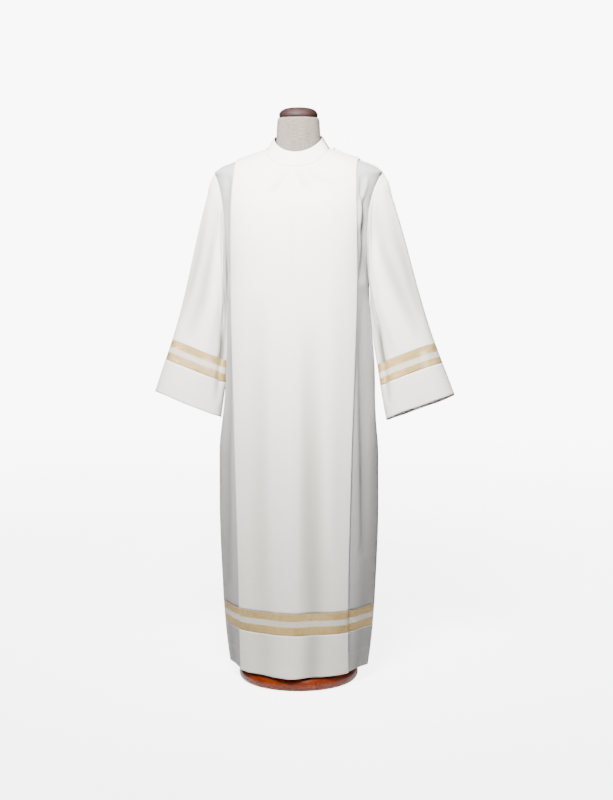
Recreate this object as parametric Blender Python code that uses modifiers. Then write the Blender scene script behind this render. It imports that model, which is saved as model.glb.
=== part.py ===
# Alb robe on a limbless dress form. Metres, +Z up. The robe's front faces -Y and the origin is on the floor.
import math
from collections import namedtuple

import bmesh
import bpy
from mathutils import Matrix, Vector

# Walls and seams
CLOTH_WALL = 0.0014
HEM_WALL = 0.0018
BAND_WALL = 0.0012
COLLAR_WALL = 0.0018
SEAM_GAP = 0.0003
SIDE_SEAM_GAP = 0.0010
SLOPE_STEP = 0.0005

# Heights of the robe
SHOULDER_TIP_HEIGHT = 1.492
ARMPIT_HEIGHT = 1.190
BAND_TOP = 0.230
BAND_BOTTOM = 0.167
HEM_STITCH_HEIGHT = 0.099
HEM_HEIGHT = 0.0450
HEM_FRONT_DIP = 0.003
DIP_TOP = 0.2
DIP_REACH = 0.15
ARMHOLE_HALF_DEPTH = 0.066
ARMHOLE_POWER = 0.7

# Neck opening
NECK_HALF_WIDTH = 0.088
NECK_FRONT_HEIGHT = 1.502
NECK_CURVE = 1.0

# Box pleats: a Z-fold along each side of the centre panel
PLEAT_UNDERLAY = 0.036
FOLD_BULGE = 0.45
SETTLE_SHARE = 0.45
NECK_CELLS = 5
SHOULDER_CELLS = 4
SIDE_CELLS = 5
UPPER_ROWS = 12
HANGING_ROWS = 8

# Collar
COLLAR_HALF_WIDTH = 0.0705
COLLAR_FRONT = 0.068
COLLAR_BACK = 0.064
COLLAR_FRONT_TOP = 1.548
COLLAR_SIDE_TOP = 1.592
COLLAR_BACK_TOP = 1.609
COLLAR_SEAM_STEP = 0.0013
COLLAR_ROWS = 4
COLLAR_TOP_POWER = 1.3

# Sleeves
SLEEVE_SEAM_STEP = 0.0024
SLEEVE_ROWS = 10
SLEEVE_HEAD_SPREAD = 0.02
SLEEVE_SWELL = 0.14
SLEEVE_BAND_ABOVE_RIM = 0.153
SLEEVE_BAND_DEPTH = 0.062
CUFF_SLOPE = math.radians(21)
CUFF_BACK_DROP = 0.15
CUFF_HALF_DEPTH = 0.066
SLEEVE_HALF_DEPTH = 0.064
CUFF_SQUARENESS = 2.4
SLEEVE_SEAM_LEAN = 0.45
SLEEVE_ROW_POWER = 1.25

# Shoulder zip, from the collar to the sleeve along the wearer's left shoulder
WELT_WALL = 0.0014
WELT_INNER = 0.07
WELT_OUTER = 0.36
CHAIN_HALF_WIDTH = 0.0013
ZIP_LIFT = CLOTH_WALL / 2 + 2 * SEAM_GAP + WELT_WALL / 2
ZIP_START = 0.25
SLIDER_ACROSS = 0.1025
SLIDER_LENGTH = 0.0095
SLIDER_WIDTH = 0.0062
SLIDER_HEIGHT = 0.0024
LUG_RADIUS = 0.0021
LUG_HALF_WIDTH = 0.0007
LUG_RISE = 0.0016
LUG_ALONG = 0.001
SLIDER_EDGE = 0.0007
ARM_OVERLAP = 0.001
PIN_INSET = 0.0002
PIN_RADIUS = 0.0007
PIN_CLEARANCE = 0.0003
PULL_LENGTH = 0.021
PULL_WIDTH = 0.0042
PULL_THICKNESS = 0.0011
PULL_DROOP = math.radians(8)

# Stand and form
BASE_RADIUS = 0.177
BASE_HEIGHT = 0.040
BASE_EDGE = 0.018
POLE_RADIUS = 0.0125
FORM_BOTTOM = 0.730
FORM_BELOW_SHOULDER = 0.0015
NECK_TOP = 1.648
CAP_RADIUS = 0.0575
CAP_TOP = 1.678
CAP_EDGE = 0.002
CAP_PROFILE = [(0.020, 0.0005), (0.038, 0.0030), (0.050, 0.0085), (0.056, 0.0170), (CAP_RADIUS, 0.0200)]
WELD_WITHIN = 0.00005

BodyLevel = namedtuple("BodyLevel", "height half_width front back roundness")
BODY_LEVELS = [
    BodyLevel(0.040, 0.2060, 0.181, 0.176, 1.55),
    BodyLevel(0.100, 0.2140, 0.175, 0.170, 1.60),
    BodyLevel(0.170, 0.2210, 0.171, 0.166, 1.68),
    BodyLevel(0.255, 0.2270, 0.169, 0.163, 1.78),
    BodyLevel(0.520, 0.2360, 0.168, 0.160, 1.85),
    BodyLevel(0.680, 0.2340, 0.167, 0.158, 2.00),
    BodyLevel(0.780, 0.2205, 0.165, 0.154, 2.20),
    BodyLevel(0.850, 0.2110, 0.163, 0.150, 2.35),
    BodyLevel(0.930, 0.2050, 0.161, 0.146, 2.45),
    BodyLevel(1.050, 0.2030, 0.158, 0.141, 2.55),
    BodyLevel(1.190, 0.2040, 0.154, 0.137, 2.65),
    BodyLevel(1.300, 0.2030, 0.150, 0.134, 2.70),
    BodyLevel(1.380, 0.2090, 0.142, 0.131, 2.65),
    BodyLevel(1.440, 0.2220, 0.123, 0.124, 2.45),
    BodyLevel(1.480, 0.2380, 0.101, 0.113, 2.20),
    BodyLevel(1.492, 0.2445, 0.093, 0.108, 2.20),
    BodyLevel(1.500, 0.2350, 0.087, 0.104, 2.20),
    BodyLevel(1.510, 0.2190, 0.079, 0.098, 2.20),
    BodyLevel(1.5215, 0.1890, 0.070, 0.091, 2.20),
    BodyLevel(1.5426, 0.1270, 0.054, 0.078, 2.20),
    BodyLevel(1.5555, 0.0880, 0.044, 0.069, 2.20),
    BodyLevel(1.570, 0.0600, 0.040, 0.060, 2.20),
]

# Half width of the centre panel, and how far apart the pleat's layers lie
PleatLevel = namedtuple("PleatLevel", "height edge layer_step")
PLEAT_LEVELS = [
    PleatLevel(0.040, 0.1520, 0.0040),
    PleatLevel(0.255, 0.1540, 0.0040),
    PleatLevel(0.700, 0.1640, 0.0038),
    PleatLevel(1.250, 0.1760, 0.0034),
    PleatLevel(1.450, 0.1750, 0.0028),
    PleatLevel(1.530, 0.1735, 0.0024),
]

# Soft troughs down the panels: across is a share of the half width, and depth is at the hem
Trough = namedtuple("Trough", "across spread depth top")
FRONT_TROUGHS = [
    Trough(0.30, 0.13, 0.0100, 1.05),
    Trough(-0.36, 0.15, 0.0050, 0.80),
    Trough(0.93, 0.10, 0.0080, 0.95),
    Trough(-0.93, 0.10, 0.0080, 0.95),
]
BACK_TROUGHS = [
    Trough(-0.28, 0.14, 0.0090, 1.00),
    Trough(0.34, 0.14, 0.0070, 0.90),
    Trough(0.93, 0.10, 0.0080, 0.95),
    Trough(-0.93, 0.10, 0.0080, 0.95),
]

# Centre and half length of each sleeve's ring at the openwork band and at the cuff's rim
SleeveRing = namedtuple("SleeveRing", "across height half_length half_depth")
SleeveShape = namedtuple("SleeveShape", "name side band rim")
SLEEVE_SHAPES = [
    SleeveShape(
        "right",
        -1,
        SleeveRing(0.296, 0.966, 0.086, SLEEVE_HALF_DEPTH),
        SleeveRing(0.330, 0.8135, 0.104, CUFF_HALF_DEPTH),
    ),
    SleeveShape(
        "left",
        1,
        SleeveRing(0.322, 0.960, 0.086, SLEEVE_HALF_DEPTH),
        SleeveRing(0.358, 0.8135, 0.105, CUFF_HALF_DEPTH),
    ),
]

FormLevel = namedtuple("FormLevel", "height half_width front back roundness")
FORM_LEVELS = [
    FormLevel(0.730, 0.110, 0.078, 0.084, 2.0),
    FormLevel(0.738, 0.140, 0.100, 0.106, 2.1),
    FormLevel(0.765, 0.160, 0.115, 0.122, 2.2),
    FormLevel(0.860, 0.172, 0.122, 0.130, 2.2),
    FormLevel(0.980, 0.158, 0.110, 0.116, 2.2),
    FormLevel(1.080, 0.148, 0.104, 0.106, 2.2),
    FormLevel(1.200, 0.160, 0.112, 0.112, 2.3),
    FormLevel(1.300, 0.172, 0.119, 0.117, 2.3),
    FormLevel(1.380, 0.180, 0.114, 0.117, 2.3),
    FormLevel(1.430, 0.190, 0.100, 0.110, 2.3),
    FormLevel(1.470, 0.204, 0.084, 0.098, 2.2),
    FormLevel(1.490, 0.212, 0.076, 0.091, 2.2),
    FormLevel(1.502, 0.2125, 0.069, 0.082, 1.9),
    FormLevel(1.511, 0.2060, 0.066, 0.076, 1.8),
    FormLevel(1.520, 0.1870, 0.064, 0.072, 1.6),
    FormLevel(1.531, 0.1570, 0.062, 0.067, 1.5),
    FormLevel(1.541, 0.1270, 0.061, 0.065, 1.5),
    FormLevel(1.551, 0.0950, 0.060, 0.063, 1.6),
    FormLevel(1.566, 0.0660, 0.059, 0.060, 2.0),
    FormLevel(1.590, 0.0640, 0.059, 0.059, 2.0),
    FormLevel(1.620, 0.0625, 0.059, 0.059, 2.0),
    FormLevel(NECK_TOP, 0.0600, 0.059, 0.059, 2.0),
]
FORM_SIDES = 28


def clear_scene():
    for item in list(bpy.data.objects):
        bpy.data.objects.remove(item, do_unlink=True)


def make_material(name, colour, roughness, metallic=0.0):
    material = bpy.data.materials.new(name)
    material.use_nodes = True
    shader = material.node_tree.nodes["Principled BSDF"]
    shader.inputs["Base Color"].default_value = (*colour, 1.0)
    shader.inputs["Roughness"].default_value = roughness
    shader.inputs["Metallic"].default_value = metallic
    return material


def read_table(rows, column, height):
    """The column's value at this height, on a curve through the rows that never overshoots them."""
    heights = [row.height for row in rows]
    values = [getattr(row, column) for row in rows]
    if height <= heights[0]:
        return values[0]
    if height >= heights[-1]:
        return values[-1]
    steps = [(b - a) / (q - p) for a, b, p, q in zip(values, values[1:], heights, heights[1:])]
    inner = [0.0 if a * b <= 0 else 2 * a * b / (a + b) for a, b in zip(steps, steps[1:])]
    slopes = [steps[0], *inner, steps[-1]]
    place = max(i for i in range(len(rows) - 1) if heights[i] <= height)
    span = heights[place + 1] - heights[place]
    share = (height - heights[place]) / span
    start_weight = (1 + 2 * share) * (1 - share) ** 2
    end_weight = share**2 * (3 - 2 * share)
    start_slope = slopes[place] * span * share * (1 - share) ** 2
    end_slope = slopes[place + 1] * span * share**2 * (share - 1)
    return start_weight * values[place] + end_weight * values[place + 1] + start_slope + end_slope


def ease(share):
    share = min(max(share, 0.0), 1.0)
    return share * share * (3 - 2 * share)


def blend(start, end, share):
    return start + (end - start) * share


def body_level(facing, height):
    """Half width, depth and roundness of the robe's section, so that it meets the armhole's edge."""
    edge = read_table(BODY_LEVELS, "half_width", height)
    depth = read_table(BODY_LEVELS, "front" if facing < 0 else "back", height)
    roundness = read_table(BODY_LEVELS, "roundness", height)
    inset = armhole_depth(height) / depth
    return edge / (1 - inset**roundness) ** (1 / roundness), depth, roundness


def armhole_depth(height):
    middle = (SHOULDER_TIP_HEIGHT + ARMPIT_HEIGHT) / 2
    reach = (SHOULDER_TIP_HEIGHT - ARMPIT_HEIGHT) / 2
    return ARMHOLE_HALF_DEPTH * max(0.0, 1 - ((height - middle) / reach) ** 2) ** ARMHOLE_POWER


def body_field(facing, across, depth, height):
    """One on the robe's surface, less inside it and more outside."""
    half_width, reach, roundness = body_level(facing, height)
    return (abs(across) / half_width) ** roundness + (abs(depth) / reach) ** roundness


def body_point(facing, across, height, offset=0.0):
    """A point of the robe's base surface at this place, moved out by the offset."""
    half_width, reach, roundness = body_level(facing, height)
    inside = max(0.0, 1 - (abs(across) / half_width) ** roundness)
    depth = facing * reach * inside ** (1 / roundness)
    place = Vector((across, depth, height))
    slope = Vector()
    for axis in range(3):
        step = Vector()
        step[axis] = SLOPE_STEP
        slope[axis] = body_field(facing, *(place + step)) - body_field(facing, *(place - step))
    if abs(depth) < SLOPE_STEP:
        slope.y = 0.0
    return place + slope.normalized() * offset


def ridge_height(across):
    """Height of the shoulder's ridge at this distance from the middle."""
    low = SHOULDER_TIP_HEIGHT
    high = BODY_LEVELS[-1].height
    for _ in range(30):
        middle = (low + high) / 2
        if read_table(BODY_LEVELS, "half_width", middle) > across:
            low = middle
        else:
            high = middle
    return low


def trough_depth(troughs, across, height):
    """How far in the soft troughs press the cloth here."""
    share = across / read_table(BODY_LEVELS, "half_width", height)
    depth = 0.0
    for trough in troughs:
        fade = ease((trough.top - height) / (trough.top - HEM_HEIGHT))
        depth += trough.depth * fade * math.exp(-(((share - trough.across) / trough.spread) ** 2))
    return depth


Column = namedtuple("Column", "kind share layer")


def half_columns():
    """Columns from the middle to the side: the centre panel, the Z-fold, then the side panel."""
    columns = [Column("neck", i / NECK_CELLS, 2.0) for i in range(NECK_CELLS)]
    columns += [Column("shoulder", i / SHOULDER_CELLS, 2.0) for i in range(SHOULDER_CELLS + 1)]
    columns += [Column("fold", FOLD_BULGE, 1.5)]
    columns += [Column("under", share, 1.0) for share in (0.0, 0.5, 1.0)]
    columns += [Column("fold_under", FOLD_BULGE, 0.5)]
    columns += [Column("under", share, 0.0) for share in (1.0, 0.5)]
    columns += [Column("side", i / SIDE_CELLS, 0.0) for i in range(SIDE_CELLS + 1)]
    return columns


def column_top(column, facing):
    """Where the column starts on the neckline or on the shoulder's ridge: across and height."""
    edge = PLEAT_LEVELS[-1].edge
    layer_step = PLEAT_LEVELS[-1].layer_step
    if column.kind == "neck":
        turn = column.share * math.pi / 2
        neck_point = ridge_height(NECK_HALF_WIDTH)
        drop = (1 - math.cos(turn)) ** NECK_CURVE
        height = blend(NECK_FRONT_HEIGHT, neck_point, drop) if facing < 0 else neck_point
        return NECK_HALF_WIDTH * math.sin(turn), height
    tip = read_table(BODY_LEVELS, "half_width", SHOULDER_TIP_HEIGHT)
    across = {
        "shoulder": blend(NECK_HALF_WIDTH, edge, column.share),
        "fold": edge + column.share * layer_step,
        "under": edge - PLEAT_UNDERLAY * column.share,
        "fold_under": edge - PLEAT_UNDERLAY - column.share * layer_step,
        "side": blend(edge, tip, column.share),
    }[column.kind]
    return across, ridge_height(across)


def column_across(column, facing, height):
    """How far from the middle the column hangs at this height."""
    edge = read_table(PLEAT_LEVELS, "edge", height)
    layer_step = read_table(PLEAT_LEVELS, "layer_step", height)
    total = NECK_CELLS + SHOULDER_CELLS
    if column.kind == "neck":
        return edge * column.share * NECK_CELLS / total
    if column.kind == "shoulder":
        return edge * (NECK_CELLS + column.share * SHOULDER_CELLS) / total
    if column.kind == "fold":
        return edge + column.share * layer_step
    if column.kind == "under":
        return edge - PLEAT_UNDERLAY * column.share
    if column.kind == "fold_under":
        return edge - PLEAT_UNDERLAY - column.share * layer_step
    half_width, _, roundness = body_level(facing, height)
    limit = read_table(BODY_LEVELS, "half_width", height)
    start = math.asin(min(1.0, (edge / half_width) ** (roundness / 2)))
    end = math.asin(min(1.0, (limit / half_width) ** (roundness / 2)))
    return half_width * math.sin(blend(start, end, column.share)) ** (2 / roundness)


def hung_point(column, sign, facing, height, share_down=1.0):
    """The column's point at this height. share_down is 0 at its top and 1 from the armpit down."""
    troughs = FRONT_TROUGHS if facing < 0 else BACK_TROUGHS
    top_across, _ = column_top(column, facing)
    across = blend(top_across, column_across(column, facing, height), ease(share_down / SETTLE_SHARE))
    layer_step = read_table(PLEAT_LEVELS, "layer_step", height)
    point = body_point(facing, across, height, column.layer * layer_step)
    middle = body_point(facing, across, height)
    outward = (body_point(facing, across, height, 1.0) - middle).normalized()
    pressed = trough_depth(troughs, sign * across, height) if height < ARMPIT_HEIGHT else 0.0
    seam_fade = 1.0 if column.kind != "side" else 1 - column.share**4
    point -= outward * pressed * seam_fade
    front_share = max(0.0, 1 - across / read_table(BODY_LEVELS, "half_width", height))
    point.z -= HEM_FRONT_DIP * front_share * ease((DIP_TOP - height) / DIP_REACH)
    point.y += facing * SIDE_SEAM_GAP / 2
    point.x *= sign
    return point


def panel_row(facing, height_of):
    """A row of points from the wearer's right side to the left. height_of gives each column's height."""
    columns = half_columns()
    right = [hung_point(column, -1, facing, *height_of(column)) for column in reversed(columns)]
    left = [hung_point(column, 1, facing, *height_of(column)) for column in columns[1:]]
    return right + left


def upper_rows(facing):
    rows = []
    for i in range(UPPER_ROWS):
        down = (1 - math.cos(math.pi * i / UPPER_ROWS)) / 2

        def height_of(column, down=down):
            return blend(column_top(column, facing)[1], ARMPIT_HEIGHT, down), down

        rows.append(panel_row(facing, height_of))
    return rows


def hanging_rows(facing, heights):
    return [panel_row(facing, lambda _, height=height: (height, 1.0)) for height in heights]


def spaced(start, end, cells):
    return [blend(start, end, i / cells) for i in range(cells + 1)]


def add_wall(name, work, thickness, material):
    """The surface as a named piece, thickened evenly to both sides."""
    mesh = bpy.data.meshes.new(name)
    work.to_mesh(mesh)
    work.free()
    mesh.shade_smooth()
    mesh.materials.append(material)
    piece = bpy.data.objects.new(name, mesh)
    collection.objects.link(piece)
    wall = piece.modifiers.new("Wall", "SOLIDIFY")
    wall.thickness = thickness
    wall.offset = 0.0
    wall.use_even_offset = True


def cloth_wall(name, rows, thickness, material, facing_out):
    """A wall of even thickness through the rows of points, its faces turned the way facing_out points."""
    work = bmesh.new()
    grid = [[work.verts.new(point) for point in row] for row in rows]
    for upper, lower in zip(grid, grid[1:]):
        for i in range(len(upper) - 1):
            work.faces.new((upper[i], lower[i], lower[i + 1], upper[i + 1]))
    work.normal_update()
    face = list(work.faces)[len(grid[0]) // 2]
    if face.normal.dot(facing_out) < 0:
        bmesh.ops.reverse_faces(work, faces=work.faces)
    add_wall(name, work, thickness, material)


def tube_wall(name, rings, thickness, material):
    """A wall round closed rings, open at both ends."""
    work = bmesh.new()
    grid = [[work.verts.new(point) for point in ring] for ring in rings]
    count = len(rings[0])
    for upper, lower in zip(grid, grid[1:]):
        for i in range(count):
            after = (i + 1) % count
            work.faces.new((upper[i], lower[i], lower[after], upper[after]))
    bmesh.ops.recalc_face_normals(work, faces=work.faces)
    middle = sum((vertex.co for vertex in grid[-1]), Vector()) / count
    work.normal_update()
    last_face = list(work.faces)[-1]
    if last_face.normal.dot(last_face.calc_center_median() - middle) < 0:
        bmesh.ops.reverse_faces(work, faces=work.faces)
    add_wall(name, work, thickness, material)


def make_body(facing, label):
    forward = Vector((0, facing, 0.0))
    band_top = BAND_TOP + SEAM_GAP / 2
    rows = upper_rows(facing) + hanging_rows(facing, spaced(ARMPIT_HEIGHT, band_top, HANGING_ROWS))
    cloth_wall(label, rows, CLOTH_WALL, ivory, forward)
    band = spaced(BAND_TOP - SEAM_GAP / 2, BAND_BOTTOM + SEAM_GAP / 2, 1)
    cloth_wall(f"skirt_band_{label}", hanging_rows(facing, band), BAND_WALL, gold_openwork, forward)
    hem = [BAND_BOTTOM - SEAM_GAP / 2, HEM_STITCH_HEIGHT, HEM_HEIGHT]
    cloth_wall(f"hem_{label}", hanging_rows(facing, hem), HEM_WALL, ivory, forward)


def armhole_point(turn, side):
    """A point of the armhole's edge: turn is 0 on the shoulder, positive over the front."""
    middle = (SHOULDER_TIP_HEIGHT + ARMPIT_HEIGHT) / 2
    reach = (SHOULDER_TIP_HEIGHT - ARMPIT_HEIGHT) / 2
    height = middle + reach * math.cos(turn)
    across = read_table(BODY_LEVELS, "half_width", height)
    return Vector((side * across, -math.copysign(armhole_depth(height), math.sin(turn)), height))


def signed_power(value, power):
    return math.copysign(abs(value) ** power, value)


def sleeve_ring_point(ring, side, turn):
    centre = Vector((side * ring.across, 0.0, ring.height))
    outward = Vector((side * math.cos(CUFF_SLOPE), 0.0, math.sin(CUFF_SLOPE)))
    backward = Vector((0.0, 1.0, -CUFF_BACK_DROP))
    power = 2 / CUFF_SQUARENESS
    centre += outward * ring.half_length * signed_power(math.cos(turn), power)
    return centre - backward * ring.half_depth * signed_power(math.sin(turn), power)


def sleeve_point(shape, turn, share):
    """A point of the upper sleeve, from the armhole (0) to the openwork band (1)."""
    start = armhole_point(turn, shape.side)
    end = sleeve_ring_point(shape.band, shape.side, turn)
    rim = sleeve_ring_point(shape.rim, shape.side, turn)
    length = (end - start).length
    arrive = (rim - end).normalized()
    top_share = (1 + math.cos(turn)) / 2
    spread = shape.side * SLEEVE_HEAD_SPREAD * top_share
    leave = (arrive + Vector((spread, -SLEEVE_SWELL * math.sin(turn), 0.0))).normalized()
    seam_way = Vector((shape.side, 0.0, 0.0)) + leave * SLEEVE_SEAM_LEAN
    start += seam_way.normalized() * SLEEVE_SEAM_STEP
    start_weight = (1 + 2 * share) * (1 - share) ** 2
    end_weight = share**2 * (3 - 2 * share)
    start_pull = length * share * (1 - share) ** 2
    end_pull = length * share**2 * (share - 1)
    return start * start_weight + end * end_weight + leave * start_pull + arrive * end_pull


def lower_sleeve_point(shape, turn, below):
    """A point this far below the band's top edge, towards the rim."""
    start = sleeve_ring_point(shape.band, shape.side, turn)
    rim = sleeve_ring_point(shape.rim, shape.side, turn)
    return start + (rim - start) * (below / SLEEVE_BAND_ABOVE_RIM)


def make_sleeve(shape):
    cells = 2 * UPPER_ROWS
    turns = [2 * math.pi * i / cells for i in range(cells)]
    shares = [1 - (1 - i / SLEEVE_ROWS) ** SLEEVE_ROW_POWER for i in range(SLEEVE_ROWS + 1)]
    upper = [[sleeve_point(shape, turn, share) for turn in turns] for share in shares]
    tube_wall(f"sleeve_{shape.name}", upper, CLOTH_WALL, ivory)
    band = [SEAM_GAP, SLEEVE_BAND_DEPTH - SEAM_GAP]
    rings = [[lower_sleeve_point(shape, turn, below) for turn in turns] for below in band]
    tube_wall(f"sleeve_band_{shape.name}", rings, BAND_WALL, gold_openwork)
    cuff = spaced(SLEEVE_BAND_DEPTH, SLEEVE_BAND_ABOVE_RIM, 2)
    rings = [[lower_sleeve_point(shape, turn, below) for turn in turns] for below in cuff]
    tube_wall(f"cuff_{shape.name}", rings, HEM_WALL, ivory)


def collar_ring():
    """The neckline's points, from the zip over the back, the right and the front to the zip again."""
    points = []
    for facing, signs in ((1, (1, -1)), (-1, (-1, 1))):
        for sign in signs:
            order = half_columns()[: NECK_CELLS + 1]
            if sign == signs[0]:
                order = order[::-1]
            for column in order:
                height = column_top(column, facing)[1]
                point = hung_point(column, sign, facing, height, 0.0)
                if not points or (point - points[-1]).length > 2 * SIDE_SEAM_GAP:
                    points.append(point)
    return points


def make_collar():
    low = collar_ring()
    rows = [[] for _ in range(COLLAR_ROWS + 1)]
    for i, point in enumerate(low):
        turn = math.atan2(point.x / NECK_HALF_WIDTH, -point.y / COLLAR_BACK)
        reach = COLLAR_FRONT if point.y < 0 else COLLAR_BACK
        frontness = math.cos(turn)
        far_top = COLLAR_FRONT_TOP if frontness > 0 else COLLAR_BACK_TOP
        top_height = blend(COLLAR_SIDE_TOP, far_top, abs(frontness) ** COLLAR_TOP_POWER)
        top = Vector((COLLAR_HALF_WIDTH * math.sin(turn), -reach * frontness, top_height))
        if i in (0, len(low) - 1):
            top.y = math.copysign(COLLAR_WALL / 2, point.y)
            point = Vector((point.x, math.copysign(COLLAR_WALL / 2, point.y), point.z))
        start = point + (top - point).normalized() * COLLAR_SEAM_STEP
        for share, row in zip(spaced(0.0, 1.0, COLLAR_ROWS), reversed(rows)):
            row.append(start.lerp(top, share))
    cloth_wall("collar", rows, COLLAR_WALL, ivory, Vector((0, 1, 0)))


def shoulder_strip(facing, shares):
    """Rows along the left shoulder seam, lifted off it, each this share of the way to the next row."""
    down = (1 - math.cos(math.pi / UPPER_ROWS)) / 2
    columns = [c for c in half_columns() if c.kind == "shoulder"]
    columns += [c for c in half_columns() if c.kind == "side" and 0.0 < c.share < 1.0]
    rows = []
    for share in shares:
        row = []
        for column in columns:
            across, height = column_top(column, facing)
            top = hung_point(column, 1, facing, height, 0.0)
            low = hung_point(column, 1, facing, blend(height, ARMPIT_HEIGHT, down), down)
            lift = body_point(facing, across, height, ZIP_LIFT) - body_point(facing, across, height)
            row.append(top.lerp(low, share) + lift)
        row[0] = row[0].lerp(row[1], ZIP_START)
        rows.append(row)
    return rows


def make_zip_tapes():
    up = Vector((0, 0, 1))
    for facing, label in ((-1, "front"), (1, "back")):
        rows = shoulder_strip(facing, (WELT_INNER, WELT_OUTER))
        cloth_wall(f"zip_welt_{label}", rows, WELT_WALL, ivory, up)
    ridge = shoulder_strip(1, (0.0,))[0]
    rows = [[Vector((p.x, y, p.z)) for p in ridge] for y in (-CHAIN_HALF_WIDTH, CHAIN_HALF_WIDTH)]
    cloth_wall("zip_chain", rows, WELT_WALL, zip_nylon, up)


def zip_frame():
    """Where the slider sits: a point on top of the chain, and the matrix whose X runs down the shoulder."""
    ridge = shoulder_strip(1, (0.0,))[0]
    first, second = next((a, b) for a, b in zip(ridge, ridge[1:]) if b.x >= SLIDER_ACROSS)
    along = (second - first).normalized()
    along.y = 0.0
    up = Vector((-along.z, 0.0, along.x)).normalized()
    seat = first.lerp(second, (SLIDER_ACROSS - first.x) / (second.x - first.x))
    seat.y = 0.0
    seat += up * (WELT_WALL / 2 + SEAM_GAP)
    turn = Matrix((along, Vector((0, 1, 0)), up)).transposed()
    return Matrix.Translation(seat) @ turn.to_4x4()


def small_box(name, length, width, height, centre):
    work = bmesh.new()
    size = Matrix.Diagonal((length, width, height, 1.0))
    bmesh.ops.create_cube(work, size=1.0, matrix=Matrix.Translation(centre) @ size)
    return work_object(name, work)


def small_pin(name, radius, width, centre, sides=16):
    work = bmesh.new()
    lay = Matrix.Rotation(math.pi / 2, 4, "X")
    place = Matrix.Translation(centre) @ lay
    bmesh.ops.create_cone(
        work, cap_ends=True, segments=sides, radius1=radius, radius2=radius, depth=width, matrix=place
    )
    return work_object(name, work)


def work_object(name, work):
    mesh = bpy.data.meshes.new(name)
    work.to_mesh(mesh)
    work.free()
    return bpy.data.objects.new(name, mesh)


def combine(piece, other, operation):
    cutters.objects.link(other)
    other.hide_render = True
    other.display_type = "WIRE"
    other.parent = piece
    step = piece.modifiers.new(operation.title(), "BOOLEAN")
    step.operation = operation
    step.object = other


def make_slider():
    frame = zip_frame()
    lug_centre = Vector((LUG_ALONG, 0.0, SLIDER_HEIGHT + LUG_RISE))
    slider = small_box(
        "zip_slider", SLIDER_LENGTH, SLIDER_WIDTH, SLIDER_HEIGHT, Vector((0, 0, SLIDER_HEIGHT / 2))
    )
    collection.objects.link(slider)
    slider.matrix_world = frame
    slider.data.materials.append(nickel)
    edge = slider.modifiers.new("Edge", "BEVEL")
    edge.width = SLIDER_EDGE
    edge.segments = 2
    combine(slider, small_pin("slider_lug", LUG_RADIUS, 2 * LUG_HALF_WIDTH, lug_centre), "UNION")
    hole = small_pin("slider_hole", PIN_RADIUS + PIN_CLEARANCE, 4 * LUG_HALF_WIDTH, lug_centre)
    combine(slider, hole, "DIFFERENCE")

    droop = Matrix.Rotation(PULL_DROOP, 4, "Y")
    arm_inner = LUG_HALF_WIDTH + PIN_CLEARANCE
    arm_width = PULL_WIDTH / 2 - arm_inner
    plate_start = LUG_RADIUS + PIN_CLEARANCE
    plate_middle = Vector(((plate_start + PULL_LENGTH) / 2, 0.0, 0.0))
    pull = small_box("zip_pull", PULL_LENGTH - plate_start, PULL_WIDTH, PULL_THICKNESS, plate_middle)
    collection.objects.link(pull)
    pull.matrix_world = frame @ Matrix.Translation(lug_centre) @ droop
    pull.data.materials.append(nickel)
    for sign in (-1, 1):
        arm_y = sign * (arm_inner + arm_width / 2)
        arm_length = plate_start + 2 * ARM_OVERLAP
        middle = Vector((plate_start / 2, arm_y, 0.0))
        combine(pull, small_box(f"pull_arm_{sign}", arm_length, arm_width, PULL_THICKNESS, middle), "UNION")
    pin_width = PULL_WIDTH - 2 * PIN_INSET
    combine(pull, small_pin("pull_pin", PIN_RADIUS, pin_width, Vector((0, 0, 0))), "UNION")


def turned(name, profile, material, segments=40):
    """A solid turned round the upright axis from points (radius, height), listed from top to bottom."""
    mesh = bpy.data.meshes.new(name)
    work = bmesh.new()
    points = [work.verts.new((radius, 0.0, height)) for radius, height in profile]
    for first, second in zip(points, points[1:]):
        work.edges.new((first, second))
    work.to_mesh(mesh)
    work.free()
    mesh.materials.append(material)
    piece = bpy.data.objects.new(name, mesh)
    collection.objects.link(piece)
    screw = piece.modifiers.new("Turn", "SCREW")
    screw.steps = segments
    screw.render_steps = segments
    screw.use_merge_vertices = True
    screw.merge_threshold = WELD_WITHIN
    return piece


def make_stand():
    rounding = [math.pi / 2 - i * math.pi / 6 for i in range(7)]
    half = BASE_HEIGHT / 2
    base = [(0.0, BASE_HEIGHT)]
    for turn in rounding:
        base.append((BASE_RADIUS - BASE_EDGE + BASE_EDGE * math.cos(turn), half + half * math.sin(turn)))
    base.append((0.0, 0.0))
    turned("stand_base", base, base_wood)
    bottom = BASE_HEIGHT + SEAM_GAP
    top = FORM_BOTTOM - SEAM_GAP
    pole = [(0.0, top), (POLE_RADIUS, top), (POLE_RADIUS, bottom), (0.0, bottom)]
    turned("stand_pole", pole, pole_metal, 16)
    bottom = NECK_TOP + SEAM_GAP
    cap = [(0.0, CAP_TOP)] + [(radius, CAP_TOP - below) for radius, below in CAP_PROFILE]
    cap += [(CAP_RADIUS, bottom + CAP_EDGE), (CAP_RADIUS - CAP_EDGE, bottom), (0.0, bottom)]
    turned("neck_cap", cap, cap_wood, 32)


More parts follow.
